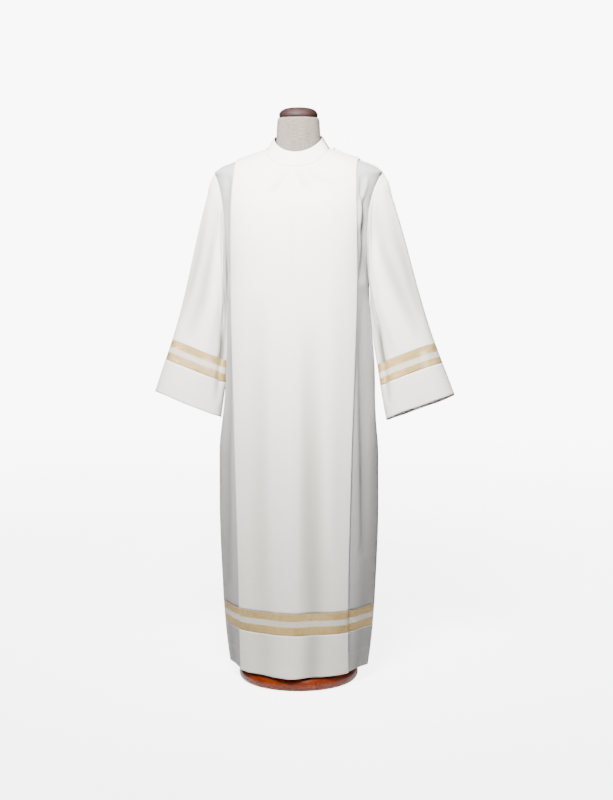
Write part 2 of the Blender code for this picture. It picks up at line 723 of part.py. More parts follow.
def make_form():
    """The linen torso: closed sections stacked from the hips to the neck."""
    mesh = bpy.data.meshes.new("form_torso")
    work = bmesh.new()
    rings = []
    for level in FORM_LEVELS:
        height = level.height
        limit = read_table(BODY_LEVELS, "half_width", height + FORM_BELOW_SHOULDER)
        resting = SHOULDER_TIP_HEIGHT < height < ridge_height(NECK_HALF_WIDTH)
        half_width = min(level.half_width, limit) if resting else level.half_width
        ring = []
        for i in range(FORM_SIDES):
            turn = 2 * math.pi * i / FORM_SIDES
            reach = level.back if math.sin(turn) > 0 else level.front
            power = 2 / level.roundness
            across = half_width * signed_power(math.cos(turn), power)
            ring.append(work.verts.new((across, reach * signed_power(math.sin(turn), power), height)))
        rings.append(ring)
    for lower, upper in zip(rings, rings[1:]):
        for i in range(FORM_SIDES):
            after = (i + 1) % FORM_SIDES
            work.faces.new((lower[i], lower[after], upper[after], upper[i]))
    work.faces.new(rings[-1])
    work.faces.new(reversed(rings[0]))
    work.to_mesh(mesh)
    work.free()
    mesh.shade_smooth()
    mesh.materials.append(linen)
    collection.objects.link(bpy.data.objects.new("form_torso", mesh))


clear_scene()
collection = bpy.data.collections.new("alb_robe_on_dress_form")
bpy.context.scene.collection.children.link(collection)
cutters = bpy.data.collections.new("cutters")
bpy.context.scene.collection.children.link(cutters)

ivory = make_material("ivory_cloth", (0.91, 0.90, 0.85), 0.85)
gold_openwork = make_material("gold_openwork", (0.78, 0.62, 0.34), 0.7)
linen = make_material("beige_linen", (0.60, 0.52, 0.44), 0.9)
base_wood = make_material("polished_wood", (0.30, 0.06, 0.012), 0.25)
cap_wood = make_material("dark_wood", (0.09, 0.022, 0.014), 0.35)
pole_metal = make_material("brushed_steel", (0.55, 0.55, 0.56), 0.35, 1.0)
zip_nylon = make_material("ivory_nylon", (0.86, 0.84, 0.78), 0.5)
nickel = make_material("nickel", (0.62, 0.60, 0.57), 0.3, 1.0)

make_stand()
make_form()
make_body(-1, "front")
make_body(1, "back")
for sleeve_shape in SLEEVE_SHAPES:
    make_sleeve(sleeve_shape)
make_collar()
make_zip_tapes()
make_slider()
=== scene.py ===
# Ivory alb with gold openwork bands, on a linen dress form with a turned wooden base.
# Metres, +Z up, the robe's front faces -Y and +X is the wearer's left.
import math

import bpy
import numpy as np
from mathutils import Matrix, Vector


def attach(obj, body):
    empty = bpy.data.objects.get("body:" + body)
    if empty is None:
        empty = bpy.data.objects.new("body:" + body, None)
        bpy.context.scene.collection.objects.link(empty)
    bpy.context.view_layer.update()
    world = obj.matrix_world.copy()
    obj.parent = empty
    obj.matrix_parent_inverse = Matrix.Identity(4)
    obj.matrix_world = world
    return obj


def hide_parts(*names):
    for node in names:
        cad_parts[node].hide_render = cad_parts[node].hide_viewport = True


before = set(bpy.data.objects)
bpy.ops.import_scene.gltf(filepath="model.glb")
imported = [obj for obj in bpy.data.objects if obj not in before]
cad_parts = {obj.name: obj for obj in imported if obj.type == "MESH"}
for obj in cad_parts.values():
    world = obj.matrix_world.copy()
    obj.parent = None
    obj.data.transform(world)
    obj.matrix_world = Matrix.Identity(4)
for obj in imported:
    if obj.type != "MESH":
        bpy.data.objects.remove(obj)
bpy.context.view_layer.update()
clothBody = "alb_and_form"


def addObject(name, data):
    made = bpy.data.objects.new(name, data)
    bpy.context.scene.collection.objects.link(made)
    return made


# A made piece rides with the robe and stands for one CAD node.
def standFor(piece, node):
    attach(piece, clothBody)
    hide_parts(node)
    return piece


# Adds and links the nodes of one tree.
class Wiring:
    def __init__(self, tree):
        self.nodes, self.links = tree.nodes, tree.links

    def feed(self, slot, value):
        if isinstance(value, bpy.types.NodeSocket):
            self.links.new(value, slot)
        elif slot.type == "RGBA":
            slot.default_value = (*value, 1.0)
        else:
            slot.default_value = value

    def add(self, kind, values=None, **settings):
        node = self.nodes.new(kind)
        for name, value in settings.items():
            setattr(node, name, value)
        for name, value in (values or {}).items():
            self.feed(node.inputs[name], value)
        return node

    def math(self, operation, first, second=0.0):
        return self.add("ShaderNodeMath", {0: first, 1: second}, operation=operation).outputs[0]

    def mix(self, share, first, second, blend="MIX"):
        values = {0: share, 6: first, 7: second}
        return self.add("ShaderNodeMix", values, data_type="RGBA", blend_type=blend).outputs[2]

    def noise(self, vector, scale, detail=3.0, roughness=0.55):
        values = {"Vector": vector, "Scale": scale, "Detail": detail, "Roughness": roughness}
        return self.add("ShaderNodeTexNoise", values).outputs["Fac"]

    def stretch(self, vector, scale):
        return self.add("ShaderNodeMapping", {"Vector": vector, "Scale": scale}).outputs["Vector"]

    def ramp(self, value, low, high, start=0.0, end=1.0):
        values = {"Value": value, "From Min": low, "From Max": high, "To Min": start, "To Max": end}
        return self.add("ShaderNodeMapRange", values).outputs["Result"]

    def bump(self, height, strength, distance, normal=None):
        values = {"Height": height, "Strength": strength, "Distance": distance}
        if normal is not None:
            values["Normal"] = normal
        return self.add("ShaderNodeBump", values).outputs["Normal"]

    def split(self, vector):
        return self.add("ShaderNodeSeparateXYZ", {"Vector": vector}).outputs

    def join(self, x, y, z=0.0):
        return self.add("ShaderNodeCombineXYZ", {"X": x, "Y": y, "Z": z}).outputs["Vector"]

    def tone(self, colour, value):
        grey = self.add("ShaderNodeCombineColor", {"Red": value, "Green": value, "Blue": value})
        return self.mix(1.0, colour, grey.outputs["Color"], "MULTIPLY")

    def effect(self, tree, values):
        return self.add("ShaderNodeGroup", values, node_tree=tree).outputs

    def place(self):
        return self.add("ShaderNodeTexCoord").outputs["Object"]

    def metres(self):
        return self.add("ShaderNodeUVMap", uv_map="weaveMap").outputs["UV"]

    def attribute(self, name):
        return self.add("ShaderNodeAttribute", attribute_name=name).outputs["Fac"]


camera = {"distance": 4.65, "height": 1.30, "azimuth": 7.5, "aim": (0.0233, 0.83), "lens": 71.6, "sensor": 36.0}

# A light is its place, what it looks at, its size, power, colour and spread in degrees.
studio = {
    "lights": {
        "keySoftbox": ((-0.10, -2.05, 2.80), (0, 0, 1.45), (0.8, 0.8), 70.0, (1.0, 0.985, 0.96), 62.0),
        "fillSoftbox": ((2.9, -2.2, 1.4), (0, 0, 0.8), (1.4, 1.8), 2.5, (0.93, 0.95, 1.0), 180.0),
        "topSoftbox": ((0.0, -0.4, 3.6), (0, 0, 1.2), (1.6, 1.2), 2.5, (1, 1, 1), 180.0),
        "rimSoftbox": ((0.6, 3.0, 2.2), (0, 0, 1.0), (2.0, 1.4), 8.0, (1, 1, 1), 180.0),
    },
    "world": 0.055,
    "seenWorld": 9.0,
    "floorRadius": 14.0,
    "floorSides": 64,
    "floorColour": (0.80, 0.80, 0.795, 1.0),
    "floorRoughness": 0.75,
    "glowReach": (0.6, 7.0),
    "floorGlow": (5.5, 8.8),
}


def lookAt(thing, place, aim):
    thing.location = place
    thing.rotation_euler = (Vector(aim) - Vector(place)).to_track_quat("-Z", "Y").to_euler()


def placeCamera(values):
    turn = math.radians(values["azimuth"])
    data = bpy.data.cameras.new("studioCamera")
    data.lens = values["lens"]
    data.sensor_fit = "VERTICAL"
    data.sensor_height = values["sensor"]
    across, height = values["aim"]
    place = Vector((math.sin(turn), -math.cos(turn), 0.0)) * values["distance"]
    place.z = values["height"]
    eye = addObject("studioCamera", data)
    lookAt(eye, place, Vector((math.cos(turn), math.sin(turn), 0.0)) * across + Vector((0, 0, height)))
    bpy.context.scene.camera = eye


def addLight(name, place, aim, size, power, colour, spread):
    data = bpy.data.lights.new(name, "AREA")
    data.spread = math.radians(spread)
    data.shape = "RECTANGLE"
    data.size, data.size_y = size
    data.energy = power
    data.color = colour
    lookAt(addObject(name, data), place, aim)


# The camera sees a brighter sky and floor than those that light the robe.
def buildStudio(values):
    world = bpy.data.worlds.new("softStudio")
    world.use_nodes = True
    background = world.node_tree.nodes["Background"]
    background.inputs["Color"].default_value = (1.0, 1.0, 1.0, 1.0)
    sky = Wiring(world.node_tree)
    seen = sky.add("ShaderNodeLightPath").outputs["Is Camera Ray"]
    sky.feed(background.inputs["Strength"], sky.ramp(seen, 0.0, 1.0, values["world"], values["seenWorld"]))
    bpy.context.scene.world = world
    for name, light in values["lights"].items():
        addLight(name, *light)
    mesh = bpy.data.meshes.new("studioFloor")
    radius, sides = values["floorRadius"], values["floorSides"]
    turns = [2 * math.pi * i / sides for i in range(sides)]
    bend = [(radius * math.cos(turn), radius * math.sin(turn), 0.0) for turn in turns]
    mesh.from_pydata(bend, [], [tuple(range(sides))])
    floor = addObject("studioFloor", mesh)
    paint = bpy.data.materials.new("paleFloor")
    paint.use_nodes = True
    shader = paint.node_tree.nodes["Principled BSDF"]
    shader.inputs["Base Color"].default_value = values["floorColour"]
    shader.inputs["Roughness"].default_value = values["floorRoughness"]
    shader.inputs["Emission Color"].default_value = (1.0, 1.0, 1.0, 1.0)
    w = Wiring(paint.node_tree)
    away = w.add("ShaderNodeVectorMath", {0: w.place()}, operation="LENGTH").outputs["Value"]
    names = ("From Min", "From Max", "To Min", "To Max")
    reach = dict(zip(names, (*values["glowReach"], *values["floorGlow"])))
    glow = w.add("ShaderNodeMapRange", {"Value": away, **reach}, interpolation_type="SMOOTHSTEP").outputs["Result"]
    ray = w.add("ShaderNodeLightPath").outputs["Is Camera Ray"]
    w.feed(shader.inputs["Emission Strength"], w.math("MULTIPLY", glow, ray))
    mesh.materials.append(paint)


placeCamera(camera)
buildStudio(studio)
print("camera and studio ready")


# The robe's sections by height: half width at the side seam, depth of front and back, and roundness.
bodyShape = {
    "height": (0.040, 0.100, 0.170, 0.255, 0.520, 0.680, 0.780, 0.850, 0.930, 1.050, 1.190,
               1.300, 1.380, 1.440, 1.480, 1.492, 1.500, 1.510, 1.5215, 1.5426, 1.5555, 1.570),
    "halfWidth": (0.2060, 0.2140, 0.2210, 0.2270, 0.2360, 0.2345, 0.2235, 0.2155, 0.2110, 0.2085, 0.2040,
                  0.2030, 0.2090, 0.2220, 0.2380, 0.2445, 0.2350, 0.2190, 0.1890, 0.1270, 0.0880, 0.0600),
    "front": (0.181, 0.175, 0.171, 0.169, 0.168, 0.167, 0.165, 0.163, 0.161, 0.158, 0.154,
              0.150, 0.142, 0.123, 0.101, 0.093, 0.087, 0.079, 0.070, 0.054, 0.044, 0.040),
    "back": (0.176, 0.170, 0.166, 0.163, 0.160, 0.158, 0.154, 0.150, 0.146, 0.141, 0.137,
             0.134, 0.131, 0.124, 0.113, 0.108, 0.104, 0.098, 0.091, 0.078, 0.069, 0.060),
    "roundness": (1.55, 1.60, 1.68, 1.78, 1.85, 2.00, 2.20, 2.35, 2.45, 2.55, 2.65,
                  2.70, 2.65, 2.45, 2.20, 2.20, 2.20, 2.20, 2.20, 2.20, 2.20, 2.20),
    "shoulderTip": 1.492,
    "armpit": 1.190,
    "armholeHalfDepth": 0.066,
    "armholePower": 0.7,
    "sideGap": 0.0010,
    "frontDip": 0.003,
    "dipTop": 0.2,
    "dipReach": 0.15,
    "hemHeight": 0.045,
    "slopeStep": 0.0005,
    "leftBulge": (0.012, 0.92, 0.13),
}

# Half width of the centre panel, and how far apart the layers of the box pleat lie.
pleatShape = {
    "height": (0.040, 0.255, 0.700, 1.250, 1.450, 1.530),
    "edge": (0.1520, 0.1540, 0.1640, 0.1760, 0.1750, 0.1735),
    "layerStep": (0.0040, 0.0040, 0.0038, 0.0034, 0.0028, 0.0024),
    "underlay": 0.036,
    "neckCells": 5,
    "shoulderCells": 4,
    "foldBulge": 0.45,
    "settle": 0.45,
}

neckShape = {"halfWidth": 0.088, "frontHeight": 1.502, "curve": 1.0}

# Soft troughs: across as a share of the half width, spread, depth at the hem, and where they fade out.
sideTroughs = ((0.93, 0.10, 0.0080, 0.95), (-0.93, 0.10, 0.0080, 0.95))
frontTroughs = ((0.30, 0.13, 0.0100, 1.05), (-0.36, 0.15, 0.0050, 0.80), *sideTroughs)
backTroughs = ((-0.28, 0.14, 0.0090, 1.00), (0.34, 0.14, 0.0070, 0.90), *sideTroughs)


def slopesOf(heights, values):
    steps = np.diff(values) / np.diff(heights)
    product = steps[:-1] * steps[1:]
    total = np.where(np.abs(steps[:-1] + steps[1:]) < 1e-12, 1.0, steps[:-1] + steps[1:])
    inner = np.where(product <= 0, 0.0, 2 * product / total)
    return np.concatenate([steps[:1], inner, steps[-1:]])


def readShape(shape, column, height):
    heights = np.array(shape["height"])
    values = np.array(shape[column])
    slopes = slopesOf(heights, values)
    height = np.clip(height, heights[0], heights[-1])
    place = np.clip(np.searchsorted(heights, height, side="right") - 1, 0, len(heights) - 2)
    span = heights[place + 1] - heights[place]
    share = (height - heights[place]) / span
    start = (1 + 2 * share) * (1 - share) ** 2 * values[place]
    end = share**2 * (3 - 2 * share) * values[place + 1]
    pull = slopes[place] * span * share * (1 - share) ** 2
    return start + end + pull + slopes[place + 1] * span * share**2 * (share - 1)


def ease(share):
    share = np.clip(share, 0.0, 1.0)
    return share * share * (3 - 2 * share)


def mix(start, end, share):
    return start + (end - start) * share


def signedPower(value, power):
    return np.copysign(np.abs(value) ** power, value)


def unit(vectors):
    return vectors / np.maximum(np.linalg.norm(vectors, axis=-1, keepdims=True), 1e-12)


def armholeDepth(height):
    middle = (bodyShape["shoulderTip"] + bodyShape["armpit"]) / 2
    reach = (bodyShape["shoulderTip"] - bodyShape["armpit"]) / 2
    inside = np.maximum(0.0, 1 - ((height - middle) / reach) ** 2)
    return bodyShape["armholeHalfDepth"] * inside ** bodyShape["armholePower"]


def bodyLevel(facing, height):
    edge = readShape(bodyShape, "halfWidth", height)
    depth = readShape(bodyShape, "front" if facing < 0 else "back", height)
    roundness = readShape(bodyShape, "roundness", height)
    inset = armholeDepth(height) / depth
    return edge / (1 - inset**roundness) ** (1 / roundness), depth, roundness


def bodyField(facing, across, depth, height):
    halfWidth, reach, roundness = bodyLevel(facing, height)
    return (np.abs(across) / halfWidth) ** roundness + (np.abs(depth) / reach) ** roundness


# Points of the robe's base surface, and the directions out of it.
def bodyFrame(facing, across, height):
    halfWidth, reach, roundness = bodyLevel(facing, height)
    inside = np.maximum(0.0, 1 - (np.abs(across) / halfWidth) ** roundness)
    depth = facing * reach * inside ** (1 / roundness)
    place = np.stack([across + 0 * depth, depth, height + 0 * depth], axis=-1)
    outward = np.empty(place.shape)
    for axis in range(3):
        step = np.zeros(3)
        step[axis] = bodyShape["slopeStep"]
        outward[..., axis] = bodyField(facing, *np.moveaxis(place + step, -1, 0))
        outward[..., axis] -= bodyField(facing, *np.moveaxis(place - step, -1, 0))
    outward[..., 1] = np.where(np.abs(depth) < bodyShape["slopeStep"], 0.0, outward[..., 1])
    outward /= np.linalg.norm(outward, axis=-1, keepdims=True)
    return place, outward


def ridgeHeight(across):
    low, high = bodyShape["shoulderTip"], bodyShape["height"][-1]
    for _ in range(30):
        middle = (low + high) / 2
        if float(readShape(bodyShape, "halfWidth", middle)) > across:
            low = middle
        else:
            high = middle
    return low


# How finely each stretch of a panel is cut, from the middle to the side seam.
panelCells = {"neck": 20, "shoulder": 24, "turn": 4, "under": 5, "side": 26}


# Columns (kind, share, layer) from the middle to the side: centre panel, Z-fold, side panel.
def halfColumns(cells):
    columns = [("neck", i / cells["neck"], 2.0) for i in range(cells["neck"])]
    columns += [("shoulder", i / cells["shoulder"], 2.0) for i in range(cells["shoulder"] + 1)]
    for i in range(1, cells["turn"]):
        turn = math.pi * i / cells["turn"]
        columns.append(("fold", pleatShape["foldBulge"] * math.sin(turn), 1.5 + 0.5 * math.cos(turn)))
    columns += [("under", i / cells["under"], 1.0) for i in range(cells["under"] + 1)]
    for i in range(1, cells["turn"]):
        turn = math.pi * i / cells["turn"]
        columns.append(("foldUnder", pleatShape["foldBulge"] * math.sin(turn), 0.5 + 0.5 * math.cos(turn)))
    columns += [("under", 1 - i / cells["under"], 0.0) for i in range(cells["under"])]
    columns += [("side", i / cells["side"], 0.0) for i in range(cells["side"] + 1)]
    return columns


def columnTop(column, facing):
    kind, share, _ = column
    edge, layerStep = pleatShape["edge"][-1], pleatShape["layerStep"][-1]
    if kind == "neck":
        turn = share * math.pi / 2
        neckPoint = ridgeHeight(neckShape["halfWidth"])
        drop = (1 - math.cos(turn)) ** neckShape["curve"]
        height = mix(neckShape["frontHeight"], neckPoint, drop) if facing < 0 else neckPoint
        return neckShape["halfWidth"] * math.sin(turn), height
    tip = float(readShape(bodyShape, "halfWidth", bodyShape["shoulderTip"]))
    across = {
        "shoulder": mix(neckShape["halfWidth"], edge, share),
        "fold": edge + share * layerStep,
        "under": edge - pleatShape["underlay"] * share,
        "foldUnder": edge - pleatShape["underlay"] - share * layerStep,
        "side": mix(edge, tip, share),
    }[kind]
    return across, ridgeHeight(across)


def columnAcross(column, facing, height):
    kind, share, _ = column
    edge = readShape(pleatShape, "edge", height)
    layerStep = readShape(pleatShape, "layerStep", height)
    neckCells, shoulderCells = pleatShape["neckCells"], pleatShape["shoulderCells"]
    if kind == "neck":
        return edge * share * neckCells / (neckCells + shoulderCells)
    if kind == "shoulder":
        return edge * (neckCells + share * shoulderCells) / (neckCells + shoulderCells)
    if kind == "fold":
        return edge + share * layerStep
    if kind == "under":
        return edge - pleatShape["underlay"] * share
    if kind == "foldUnder":
        return edge - pleatShape["underlay"] - share * layerStep
    halfWidth, _, roundness = bodyLevel(facing, height)
    limit = readShape(bodyShape, "halfWidth", height)
    start = np.arcsin(np.minimum(1.0, (edge / halfWidth) ** (roundness / 2)))
    end = np.arcsin(np.minimum(1.0, (limit / halfWidth) ** (roundness / 2)))
    return halfWidth * np.sin(mix(start, end, share)) ** (2 / roundness)


def troughDepth(troughs, across, height):
    share = across / readShape(bodyShape, "halfWidth", height)
    depth = 0.0
    for place, spread, deep, top in troughs:
        fade = ease((top - height) / (top - bodyShape["hemHeight"]))
        depth = depth + deep * fade * np.exp(-(((share - place) / spread) ** 2))
    return np.where(height < bodyShape["armpit"], depth, 0.0)


# How a crease fades toward its ends, and the cloth's creases toward its top edge.
creaseForm = {"ends": 0.06, "taperPower": 0.7, "topFade": 0.04, "seamPower": 4}


# How far in the creases press the cloth at (u, v). A crease is its points, width, depth and lean to one side.
def creaseDepth(creases, u, v):
    total = np.zeros(np.broadcast(u, v).shape)
    for points, width, deep, lean in creases:
        path = np.array(points, float)
        lengths = np.concatenate([[0.0], np.cumsum(np.linalg.norm(np.diff(path, axis=0), axis=1))])
        best = np.full(total.shape, 1e9)
        side = np.zeros(total.shape)
        along = np.zeros(total.shape)
        for i in range(len(path) - 1):
            start, run = path[i], path[i + 1] - path[i]
            size = np.linalg.norm(run)
            share = np.clip(((u - start[0]) * run[0] + (v - start[1]) * run[1]) / size**2, 0.0, 1.0)
            offU = u - start[0] - share * run[0]
            offV = v - start[1] - share * run[1]
            away = np.hypot(offU, offV)
            nearer = away < best
            best = np.where(nearer, away, best)
            side = np.where(nearer, np.clip((run[0] * offV - run[1] * offU) / (size * width), -1, 1), side)
            along = np.where(nearer, (lengths[i] + share * size) / lengths[-1], along)
        spread = width * (1 + lean * side)
        along = np.clip(creaseForm["ends"] + (1 - 2 * creaseForm["ends"]) * along, 0, 1)
        taper = np.sin(np.pi * along) ** creaseForm["taperPower"]
        total += deep * taper * np.exp(-((best / spread) ** 2))
    return total


# One column of points, top to bottom, and how deep the cloth is pressed in there.
def hungColumn(column, sign, facing, height, down, creases, troughs):
    kind, share, layer = column
    topAcross, _ = columnTop(column, facing)
    across = mix(topAcross, columnAcross(column, facing, height), ease(down / pleatShape["settle"]))
    layerStep = readShape(pleatShape, "layerStep", height)
    base, outward = bodyFrame(facing, across, height)
    pressed = troughDepth(troughs, sign * across, height)
    seamFade = 1 - share ** creaseForm["seamPower"] if kind == "side" else 1.0
    fade = ease(down / creaseForm["topFade"])
    pressed = (pressed + creaseDepth(creases, sign * across, height) * fade) * seamFade
    points = base + outward * (layer * layerStep - pressed)[:, None]
    frontShare = np.maximum(0.0, 1 - across / readShape(bodyShape, "halfWidth", height))
    points[:, 2] -= bodyShape["frontDip"] * frontShare * ease((bodyShape["dipTop"] - height) / bodyShape["dipReach"])
    points[:, 1] += facing * bodyShape["sideGap"] / 2
    if kind == "side" and sign > 0:
        deep, middle, reach = bodyShape["leftBulge"]
        points[:, 0] += deep * ease(share) * np.exp(-(((height - middle) / reach) ** 2))
    points[:, 0] *= sign
    return points, pressed


# Points [row, column] from the wearer's right to the left; heightOf gives a column's heights and shares down.
def panelGrid(facing, heightOf, panel):
    columns = halfColumns(panelCells)
    order = [(-1, column) for column in reversed(columns)] + [(1, column) for column in columns[1:]]
    folds = (panel["creases"], panel["troughs"])
    made = [hungColumn(column, sign, facing, *heightOf(column), *folds) for sign, column in order]
    points = np.stack([points for points, _ in made], axis=1)
    pressed = np.stack([pressed for _, pressed in made], axis=1)
    layers = np.array([2.0 - column[2] for _, column in order])
    return points, pressed, np.broadcast_to(layers, pressed.shape)


def closeRound(points, closed):
    return np.concatenate([points, points[:, :1]], axis=1) if closed else points


# A piece of cloth through a grid of points, with weave UVs in metres, its painted crease and recess shade as
# attributes and an even wall.
def clothMesh(name, points, material, wall, closed=False, hollow=None, recess=None, outward=None):
    rows, columns = points.shape[:2]
    index = np.arange(rows * columns).reshape(rows, columns)
    across = np.arange(columns if closed else columns - 1)
    after = (across + 1) % columns
    upper, lower = index[:-1], index[1:]
    corners = [upper[:, across], lower[:, across], lower[:, after], upper[:, after]]
    quads = np.stack(corners, axis=-1).reshape(-1, 4)
    acrossSteps = np.linalg.norm(np.diff(closeRound(points, closed), axis=1), axis=2)
    mapU = np.concatenate([[0.0], np.cumsum(acrossSteps.mean(axis=0))])
    downSteps = np.linalg.norm(np.diff(points, axis=0), axis=2)
    mapV = np.concatenate([[0.0], np.cumsum(downSteps.mean(axis=1))])
    flat = points.reshape(-1, 3)
    middle = quads[(len(across) * (rows // 2) + len(across) // 2) % len(quads)]
    corner = flat[middle]
    normal = np.cross(corner[1] - corner[0], corner[3] - corner[0])
    target = np.array(outward) if outward is not None else corner.mean(axis=0) - points[rows // 2].mean(axis=0)
    turned = np.dot(normal, target) < 0
    rowPlace = np.repeat(np.arange(rows - 1), len(across))
    columnPlace = np.tile(across, rows - 1)
    mapCorners = ((0, 0), (0, 1), (1, 1), (1, 0))
    uv = np.stack([np.stack([mapU[columnPlace + i], mapV[rowPlace + j]], -1) for i, j in mapCorners], axis=1)
    if turned:
        quads, uv = quads[:, ::-1], uv[:, ::-1]
    mesh = bpy.data.meshes.new(name)
    mesh.vertices.add(len(flat))
    mesh.vertices.foreach_set("co", flat.astype(np.float32).ravel())
    mesh.loops.add(quads.size)
    mesh.loops.foreach_set("vertex_index", np.ascontiguousarray(quads, np.int32).ravel())
    mesh.polygons.add(len(quads))
    mesh.polygons.foreach_set("loop_start", np.arange(0, quads.size, 4, dtype=np.int32))
    layer = mesh.uv_layers.new(name="weaveMap")
    layer.data.foreach_set("uv", np.ascontiguousarray(uv, np.float32).ravel())
    # Painted shade masks: how dark the creases and the recessed layers are painted.
    for label, values in (("hollow", hollow), ("recess", recess)):
        shade = mesh.attributes.new(label, "FLOAT", "POINT")
        values = np.zeros(len(flat)) if values is None else np.asarray(values, float).ravel()
        shade.data.foreach_set("value", np.clip(values, 0, 1).astype(np.float32))
    mesh.update(calc_edges=True)
    mesh.validate()
    mesh.shade_smooth()
    mesh.materials.append(material)
    piece = addObject(name, mesh)
    if wall:
        shell = piece.modifiers.new("clothWall", "SOLIDIFY")
        shell.thickness = wall
        shell.offset = 0.0
        shell.use_even_offset = True
        shell.thickness_clamp = 0.0
    return piece


# Effects that several finishes share, each one a node group with named sockets.
def newGroup(name, inputs, outputs, kind="ShaderNodeTree"):
    tree = bpy.data.node_groups.new(name, kind)
    for label, socketKind, value in inputs:
        socket = tree.interface.new_socket(label, in_out="INPUT", socket_type=socketKind)
        if value is not None:
            socket.default_value = value
    for label, socketKind in outputs:
        tree.interface.new_socket(label, in_out="OUTPUT", socket_type=socketKind)
    wiring = Wiring(tree)
    return tree, wiring, wiring.add("NodeGroupInput").outputs, wiring.add("NodeGroupOutput").inputs


number, vector = "NodeSocketFloat", "NodeSocketVector"
geometry, finish = "NodeSocketGeometry", "NodeSocketMaterial"


# Plain weave: warp over weft, with thicker yarns here and there.
def weaveGroup():
    inputs = [("Vector", vector, None), ("Pitch", number, 0.0006), ("Slub", number, 0.5), ("Diagonal", number, 0.0)]
    tree, w, start, end = newGroup("weave", inputs, [("Height", number), ("Slubs", number)])
    split = w.split(start["Vector"])
    u = w.math("DIVIDE", split["X"], start["Pitch"])
    v = w.math("DIVIDE", split["Y"], start["Pitch"])
    u = w.math("ADD", u, w.math("MULTIPLY", v, start["Diagonal"]))
    sinU = w.math("SINE", w.math("MULTIPLY", u, math.pi))
    sinV = w.math("SINE", w.math("MULTIPLY", v, math.pi))
    over = w.ramp(w.math("MULTIPLY", sinU, sinV), -0.25, 0.25)
    warp = w.math("MULTIPLY", w.math("ABSOLUTE", sinU), over)
    weft = w.math("MULTIPLY", w.math("ABSOLUTE", sinV), w.math("SUBTRACT", 1.0, over))
    acrossYarn = w.noise(w.stretch(start["Vector"], (24.0, 900.0, 1.0)), 1.0, 2.0)
    downYarn = w.noise(w.stretch(start["Vector"], (900.0, 20.0, 1.0)), 1.0, 2.0)
    slubs = w.math("ADD", w.math("MULTIPLY", acrossYarn, 0.65), w.math("MULTIPLY", downYarn, 0.35))
    w.feed(end["Height"], w.math("ADD", w.math("ADD", warp, weft), w.math("MULTIPLY", slubs, start["Slub"])))
    w.feed(end["Slubs"], slubs)
    return tree


# Soft handling marks: broad patches and small specks, from 0 to 1.
def wearGroup():
    inputs = [("Vector", vector, None), ("Broad", number, 5.0), ("Fine", number, 70.0)]
    tree, w, start, end = newGroup("handling", inputs, [("Patches", number), ("Specks", number)])
    w.feed(end["Patches"], w.ramp(w.noise(start["Vector"], start["Broad"], 4.0, 0.5), 0.35, 0.65))
    w.feed(end["Specks"], w.ramp(w.noise(start["Vector"], start["Fine"], 2.0, 0.5), 0.62, 0.75))
    return tree


# Wood grain along X: long fibres, growth rings and pores.
def grainGroup():
    inputs = [("Vector", vector, None), ("Ring Width", number, 0.012), ("Length", number, 12.0)]
    outputs = [("Rings", number), ("Fibres", number), ("Pores", number)]
    tree, w, start, end = newGroup("woodGrain", inputs, outputs)
    bent = w.noise(w.stretch(start["Vector"], (1.6, 7.0, 7.0)), 1.0, 2.0, 0.5)
    split = w.split(start["Vector"])
    fromHeart = w.math("ABSOLUTE", w.math("ADD", split["Y"], 0.31))
    radius = w.math("ADD", fromHeart, w.math("MULTIPLY", bent, 0.05))
    rings = w.math("SINE", w.math("DIVIDE", radius, w.math("MULTIPLY", start["Ring Width"], 0.32)))
    scales = {"X": w.math("DIVIDE", 60.0, start["Length"]), "Y": 240.0, "Z": 240.0}
    stretched = w.join(*(w.math("MULTIPLY", split[axis], scale) for axis, scale in scales.items()))
    w.feed(end["Rings"], w.ramp(rings, -1.0, 1.0))
    w.feed(end["Fibres"], w.ramp(w.noise(stretched, 1.0, 4.0), 0.3, 0.7))
    w.feed(end["Pores"], w.ramp(w.noise(stretched, 3.2, 1.0), 0.60, 0.72))
    return tree


# Dust that settles on what faces up, in a broken film.
def dustGroup():
    tree, w, start, end = newGroup("dust", [("Vector", vector, None), ("Amount", number, 0.3)], [("Film", number)])
    facing = w.split(w.add("ShaderNodeNewGeometry").outputs["Normal"])
    upward = w.ramp(facing["Z"], 0.55, 0.95)
    broken = w.ramp(w.noise(start["Vector"], 55.0, 5.0), 0.38, 0.62)
    w.feed(end["Film"], w.math("MULTIPLY", w.math("MULTIPLY", upward, broken), start["Amount"]))
    return tree


weave, handling, woodGrain, dust = weaveGroup(), wearGroup(), grainGroup(), dustGroup()


def newFinish(name, roughness, metallic=0.0, **sockets):
    material = bpy.data.materials.new(name)
    material.use_nodes = True
    shader = material.node_tree.nodes["Principled BSDF"].inputs
    for label, value in {"Roughness": roughness, "Metallic": metallic, **sockets}.items():
        shader[label.replace("_", " ")].default_value = value
    return material, Wiring(material.node_tree), shader


# The alb's cloth: cool ivory on top with warmer handling patches, painted dark yellowish shade in its creases and
# painted grey shade on its recessed layers, a fine plain weave with slubs.
clothFinish = {
    "colour": (0.850, 0.840, 0.785),
    "warm": (0.860, 0.835, 0.745),
    # Painted shade: shaded is the darker, yellower colour mixed into pressed creases; recessed is the grey mixed on to
    # recessed layers.
    "shaded": (0.120, 0.116, 0.084),
    "recessShadeColour": (0.402, 0.398, 0.406),
    "foldShade": 0.90,
    "roughness": (0.78, 0.90),
    "pitch": 0.00062,
    "weaveDepth": 0.00022,
    "softDepth": 0.0020,
}


